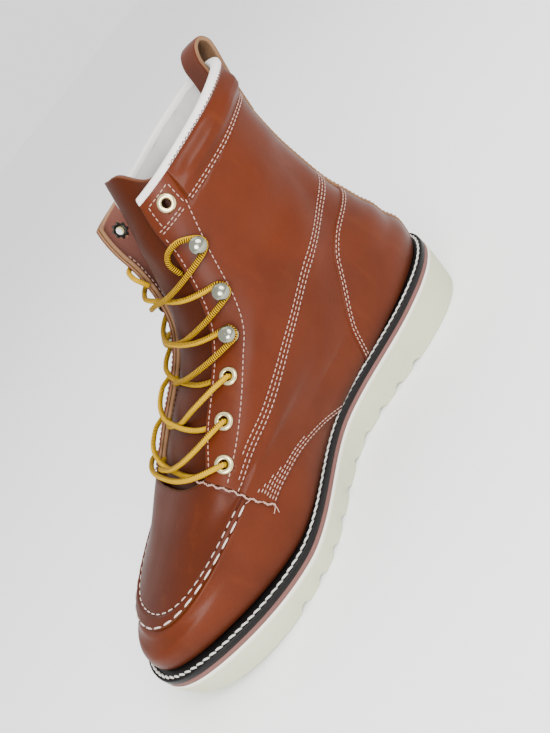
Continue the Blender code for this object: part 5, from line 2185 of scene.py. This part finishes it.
STRIP_EDGE = 0.087
SEAM_ROWS = (
    *(SeamRow(QUARTER_SEAM, offset, QUARTER_TOP, STRIP_EDGE, 0.72) for offset in (1.4, 3.4, 5.4)),
    *(SeamRow(COUNTER_LINE, offset, COUNTER_TOP, STRIP_EDGE, 0.9) for offset in (-1.4, -3.3)),
    *(SeamRow(WING_LINE, offset, WING_TOP, start, 0.69) for offset, start in (
        (1.3, 0.0), (3.0, 0.0), (4.7, 0.52), (6.4, 0.57), (8.1, 0.585), (9.8, 0.60), (11.5, 0.615))),
    *(SeamRow(COLLAR_LINE, offset, COLLAR_TOP, STRIP_EDGE, 0.675) for offset in (1.2, 2.8)),
    *(SeamRow(COLLAR_LINE, offset, QUARTER_TOP, 0.69, 0.845) for offset in (1.2, 2.8)),
    SeamRow(EYESTAY_REAR, 0.0, QUARTER_TOP, 0.0, 0.9),
)


class LooseEnd(NamedTuple):
    """Loose end of the frayed thread: where it leaves the seam, and its way on the inner side."""

    start: int
    way: tuple[float, float, float]


@dataclass(frozen=True)
class Stitching:
    """Seams of white thread on the upper."""

    lift: float = 0.12
    front_inset: float = 2.6
    front_levels: tuple[float, float] = (4.15, 8.7)
    back_height: float = -2.75
    patch: Rows = ((0.805, 8.95), (0.812, 9.62), (0.70, 9.66), (0.684, 8.95))
    moc_start: tuple[float, float] = (203.5, 61.5)
    moc_inset: float = 0.9
    moc_height: float = 2.35
    moc_inner_height: float = 1.45
    zigzag_span: tuple[float, float] = (0.675, -0.55)
    zigzag_step: float = 1.3
    zigzag_drops: tuple[float, float] = (-1.3, -2.9)
    zigzag_height: float = 3.1
    strip_y: float = 10.2
    strip_height: float = 3.5
    fray_offset: float = -0.75
    fray_height: float = 2.1
    fray_radius: float = 0.3
    fray_twist: float = 0.36
    fray_pitch: float = 3.4
    fray_sway: float = 0.45
    loose_radius: float = 0.22
    loose_ends: tuple[LooseEnd, ...] = (
        LooseEnd(0, (2.6, 0.5, -0.9)), LooseEnd(0, (1.2, 0.4, -2.4)), LooseEnd(26, (2.4, 0.3, 1.1)),
        LooseEnd(-1, (1.5, -1.8, 0.9)),
    )
    loose_shape: Rows = ((0.0, 0.0), (0.6, 0.5), (1.5, 0.2))

    def on_upper(self, turns: Array, levels: Array, height: Array, thread: Thread = FINE) -> Body:
        """Row of stitches along turns and levels, at a height over the upper."""
        path = LAST.lift(turns, levels, height + self.lift)
        return stitches(path, LAST.normal(turns, levels), thread)

    def seam_row(self, row: SeamRow, side: Side) -> Body:
        """Row beside a seam.

        Args:
            row: The row.
            side: Side of the boot.

        Returns:
            The stitches.
        """
        turns, levels = row.seam.line(row.offset).T
        inside = (turns >= row.start) & (turns <= row.end) & (levels > FOOT_LEVEL)
        turns, levels = turns[inside], levels[inside]
        return self.on_upper(turns * side.value, levels, row.height + front_raise(turns, levels))

    def side_rows(self, side: Side) -> list[Body]:
        """Rows of one side.

        Args:
            side: The side.

        Returns:
            Triple seam, counter, wing, collar, eyestay, lace edge, the patch at the top eyelet, and the lace
            edge's row on the inside.
        """
        rows = [self.seam_row(row, side) for row in SEAM_ROWS]
        levels = np.linspace(*self.front_levels, 160)
        turns = np.array([LAST.inset_turn(level, side, self.front_inset) for level in levels])
        rows.append(self.on_upper(turns, levels, QUARTER_TOP))
        for start, end in zip(self.patch, self.patch[1:]):
            line = np.linspace(start, end, 40)
            rows.append(self.on_upper(line[:, 0] * side.value, line[:, 1], QUARTER_TOP))
        return [*rows, self.on_upper(turns, levels, self.back_height)]

    def moc_rows(self) -> list[Body]:
        """The two toe seams, set up the surface from the moc level.

        Returns:
            Long heavy dashes on the apron's edge, and finer ones along the inner seam.
        """
        start, _ = LAST.spot(*self.moc_start)
        turns = np.concatenate([np.linspace(start, 1.0, 200), 2.0 - np.linspace(1.0, start, 200)[1:]])
        folded = np.abs(wrapped(turns))
        edge = LAST.level_from(turns, MOC_LEVEL, np.full(turns.shape, self.moc_inset))
        inside = LAST.level_from(turns, MOC_LEVEL, moc_band(folded))
        ahead = folded > start + 0.02
        return [self.on_upper(turns, edge, self.moc_height, HEAVY),
                self.on_upper(turns[ahead], inside[ahead], self.moc_inner_height, MOC_FINE)]

    def zigzag(self) -> Body:
        """Zigzag under the binding: legs that go up and down along the padded collar's top.

        Returns:
            The legs.
        """
        turns = np.linspace(*self.zigzag_span, 1600)
        run = run_of(LAST.surface(turns, np.full(turns.shape, TOP_LEVEL)))
        turn = np.interp(np.arange(2.0, run[-1] - 2.0, self.zigzag_step), run, turns)
        level = LAST.level_from(turn, TOP_LEVEL, np.resize(self.zigzag_drops, len(turn)))
        points, normals = LAST.lift(turn, level, self.zigzag_height), LAST.normal(turn, level)
        legs = []
        for k in range(len(points) - 1):
            leg = points[k:k + 2]
            legs.append(stitches(leg, normals[k:k + 2], Thread(float(run_of(leg)[-1]), 0.1, 0.27, 0.15)))
        return joined(legs)

    def strip_rows(self) -> list[Body]:
        """Rows along both edges of the backstay."""
        levels = np.linspace(0.3, 8.6, 200)
        return [self.on_upper(LAST.heel_turn(np.full(levels.shape, y), levels), levels, self.strip_height)
                for y in (-self.strip_y, self.strip_y)]

    def fray(self, side: Side) -> Body:
        """Two twisted threads along the quarters' cut front end, with loose ends at both sides of it.

        Args:
            side: Side of the boot.

        Returns:
            The threads.
        """
        turns, levels = QUARTER_FRONT.line(self.fray_offset).T
        turns = turns * side.value
        path = LAST.lift(turns, levels, self.fray_height + 0.35 * np.sin(np.arange(len(turns)) * 0.9))
        run = run_of(path)
        steps = np.linspace(0.0, run[-1], 90)
        up = unit(at_run(LAST.normal(turns, levels), run, steps))
        path = at_run(path, run, steps)
        aside = np.cross(unit(np.gradient(path, axis=0)), up)
        angle = steps[:, None] * 2.0 * np.pi / self.fray_pitch
        path = path + self.fray_sway * np.sin(steps[:, None] * 1.1) * aside
        twist = self.fray_twist * (np.cos(angle) * up + np.sin(angle) * aside)
        threads = [tube(path + sign * twist, self.fray_radius, 6) for sign in (1.0, -1.0)]
        for start, way in self.loose_ends:
            ahead = np.array(way) * np.array([1.0, side.value, 1.0])
            loose = [path[start] + out * ahead + rise * up[start] for out, rise in self.loose_shape]
            threads.append(tube(curve(loose, 5), self.loose_radius, 6))
        return joined(threads)

    def build(self) -> None:
        """Makes the seams, one piece for each group."""
        for side in Side:
            place(f"seam_rows_{side.label}", joined(self.side_rows(side)), [THREAD], Slot.LINING)
            place(f"frayed_thread_{side.label}", self.fray(side), [THREAD], Slot.LINING)
        place("moc_stitches", joined(self.moc_rows()), [MOC_THREAD], Slot.LINING)
        place("binding_zigzag", self.zigzag(), [DARK_THREAD], Slot.LINING)
        place("backstay_stitches", joined(self.strip_rows()), [THREAD], Slot.LINING)


class Lamp(NamedTuple):
    """Soft disc lamp: name, place from the camera's aim, size and power."""

    name: str
    offset: tuple[float, float, float]
    size: float
    power: float


def posed(name: str, data: bpy.types.ID, axes: Sequence[Array], spot: Array) -> bpy.types.Object:
    """Object of the studio at a place.

    Args:
        name: Its name.
        data: Its data.
        axes: Its x, y and z axes.
        spot: Its place.

    Returns:
        The object.
    """
    made = bpy.data.objects.new(name, data)
    made.matrix_world = Matrix([*np.column_stack([*axes, spot]).tolist(), (0.0, 0.0, 0.0, 1.0)])
    bpy.context.scene.collection.objects.link(made)
    return made


@dataclass(frozen=True)
class Studio:
    """Camera at the photograph's angle, pale floor and soft light."""

    eye: tuple[float, float, float] = (0.098, 0.3847, 0.2427)
    photo_up: tuple[float, float, float] = (-0.8229, -0.0078, 0.5681)
    fill: float = 0.90
    aim_steps: int = 6
    floor_half: float = 80.0
    floor_grey: float = 0.94
    floor_roughness: float = 0.9
    world_strength: float = 1.5
    lamp_up: tuple[float, float, float] = (0.1, 0.2, 0.97)
    lamps: tuple[Lamp, ...] = (
        Lamp("key", (-0.15, 1.0, 0.8), 0.8, 22.0),
        Lamp("fill", (0.75, 0.85, 0.4), 0.5, 15.0),
        Lamp("top", (-0.5, -0.1, 1.3), 1.2, 5.0),
    )

    def axes(self, aim: Array) -> tuple[Array, Array, Array]:
        """Axes of the camera for an aim, with the photograph's roll.

        Args:
            aim: The point that it looks at.

        Returns:
            Right, up and back.
        """
        back = unit(np.array(self.eye) - aim)
        right = unit(np.cross(np.array(self.photo_up), back))
        return right, np.cross(back, right), back

    def camera(self) -> None:
        """Camera that aims at the middle of the boot that it sees, with a lens that fills the frame."""
        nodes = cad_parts.values()
        points = np.vstack([np.array([vertex.co for vertex in node.data.vertices]) for node in nodes])
        aim = points.mean(axis=0)
        for _ in range(self.aim_steps):
            right, up, back = self.axes(aim)
            seen = (points - np.array(self.eye)) @ np.stack([right, up, back], axis=1)
            flat = seen[:, :2] / -seen[:, 2:]
            middle = (flat.min(axis=0) + flat.max(axis=0)) / 2.0
            far = np.linalg.norm(aim - np.array(self.eye))
            aim = aim + far * (middle[0] * right + middle[1] * up)
        reach = (flat.max(axis=0) - flat.min(axis=0)) / 2.0
        focal = min(PHOTO_SIZE[0] / 2.0 / reach[0], PHOTO_SIZE[1] / 2.0 / reach[1]) * self.fill
        lens = bpy.data.cameras.new("camera")
        lens.sensor_width = SENSOR
        lens.lens = focal * SENSOR / max(PHOTO_SIZE)
        lens.clip_start = 0.01
        bpy.context.scene.camera = posed("camera", lens, (right, up, back), self.eye)
        self.lights(aim)

    def lights(self, aim: Array) -> None:
        """Soft disc lamps round the boot, turned to it.

        Args:
            aim: The point that they light.
        """
        for name, offset, size, power in self.lamps:
            light = bpy.data.lights.new(name, "AREA")
            light.shape = "DISK"
            light.size = size
            light.energy = power
            towards = unit(np.array(offset))
            side = unit(np.cross(np.array(self.lamp_up), towards))
            posed(name, light, (side, np.cross(towards, side), towards), aim + np.array(offset))

    def floor(self) -> None:
        """Plain pale floor and a pale world."""
        mesh = bpy.data.meshes.new("floor")
        corners = np.array([(-1.0, -1.0, 0.0), (1.0, -1.0, 0.0), (1.0, 1.0, 0.0), (-1.0, 1.0, 0.0)])
        mesh.from_pydata(corners * self.floor_half, [], [(0, 1, 2, 3)])
        paint = bpy.data.materials.new("floor")
        paint.use_nodes = True
        shader = paint.node_tree.nodes["Principled BSDF"]
        shader.inputs["Base Color"].default_value = (self.floor_grey,) * 3 + (1.0,)
        shader.inputs["Roughness"].default_value = self.floor_roughness
        mesh.materials.append(paint)
        made = bpy.data.objects.new("floor", mesh)
        bpy.context.scene.collection.objects.link(made)
        world = bpy.data.worlds.new("studio")
        world.use_nodes = True
        world.node_tree.nodes["Background"].inputs["Color"].default_value = (1.0, 1.0, 1.0, 1.0)
        world.node_tree.nodes["Background"].inputs["Strength"].default_value = self.world_strength
        bpy.context.scene.world = world

    def build(self) -> None:
        """Makes camera, lights and floor."""
        self.camera()
        self.floor()


def main() -> None:
    """Builds the boot from camera and lace to the last stitch."""
    logging.basicConfig(level=logging.INFO, format="%(message)s")
    Studio().build()
    for assembly in (LaceUnit(), SoleUnit(), UpperUnit(), HeelStrip(), Fastenings(), Stitching()):
        assembly.build()


if __name__ == "__main__":
    main()
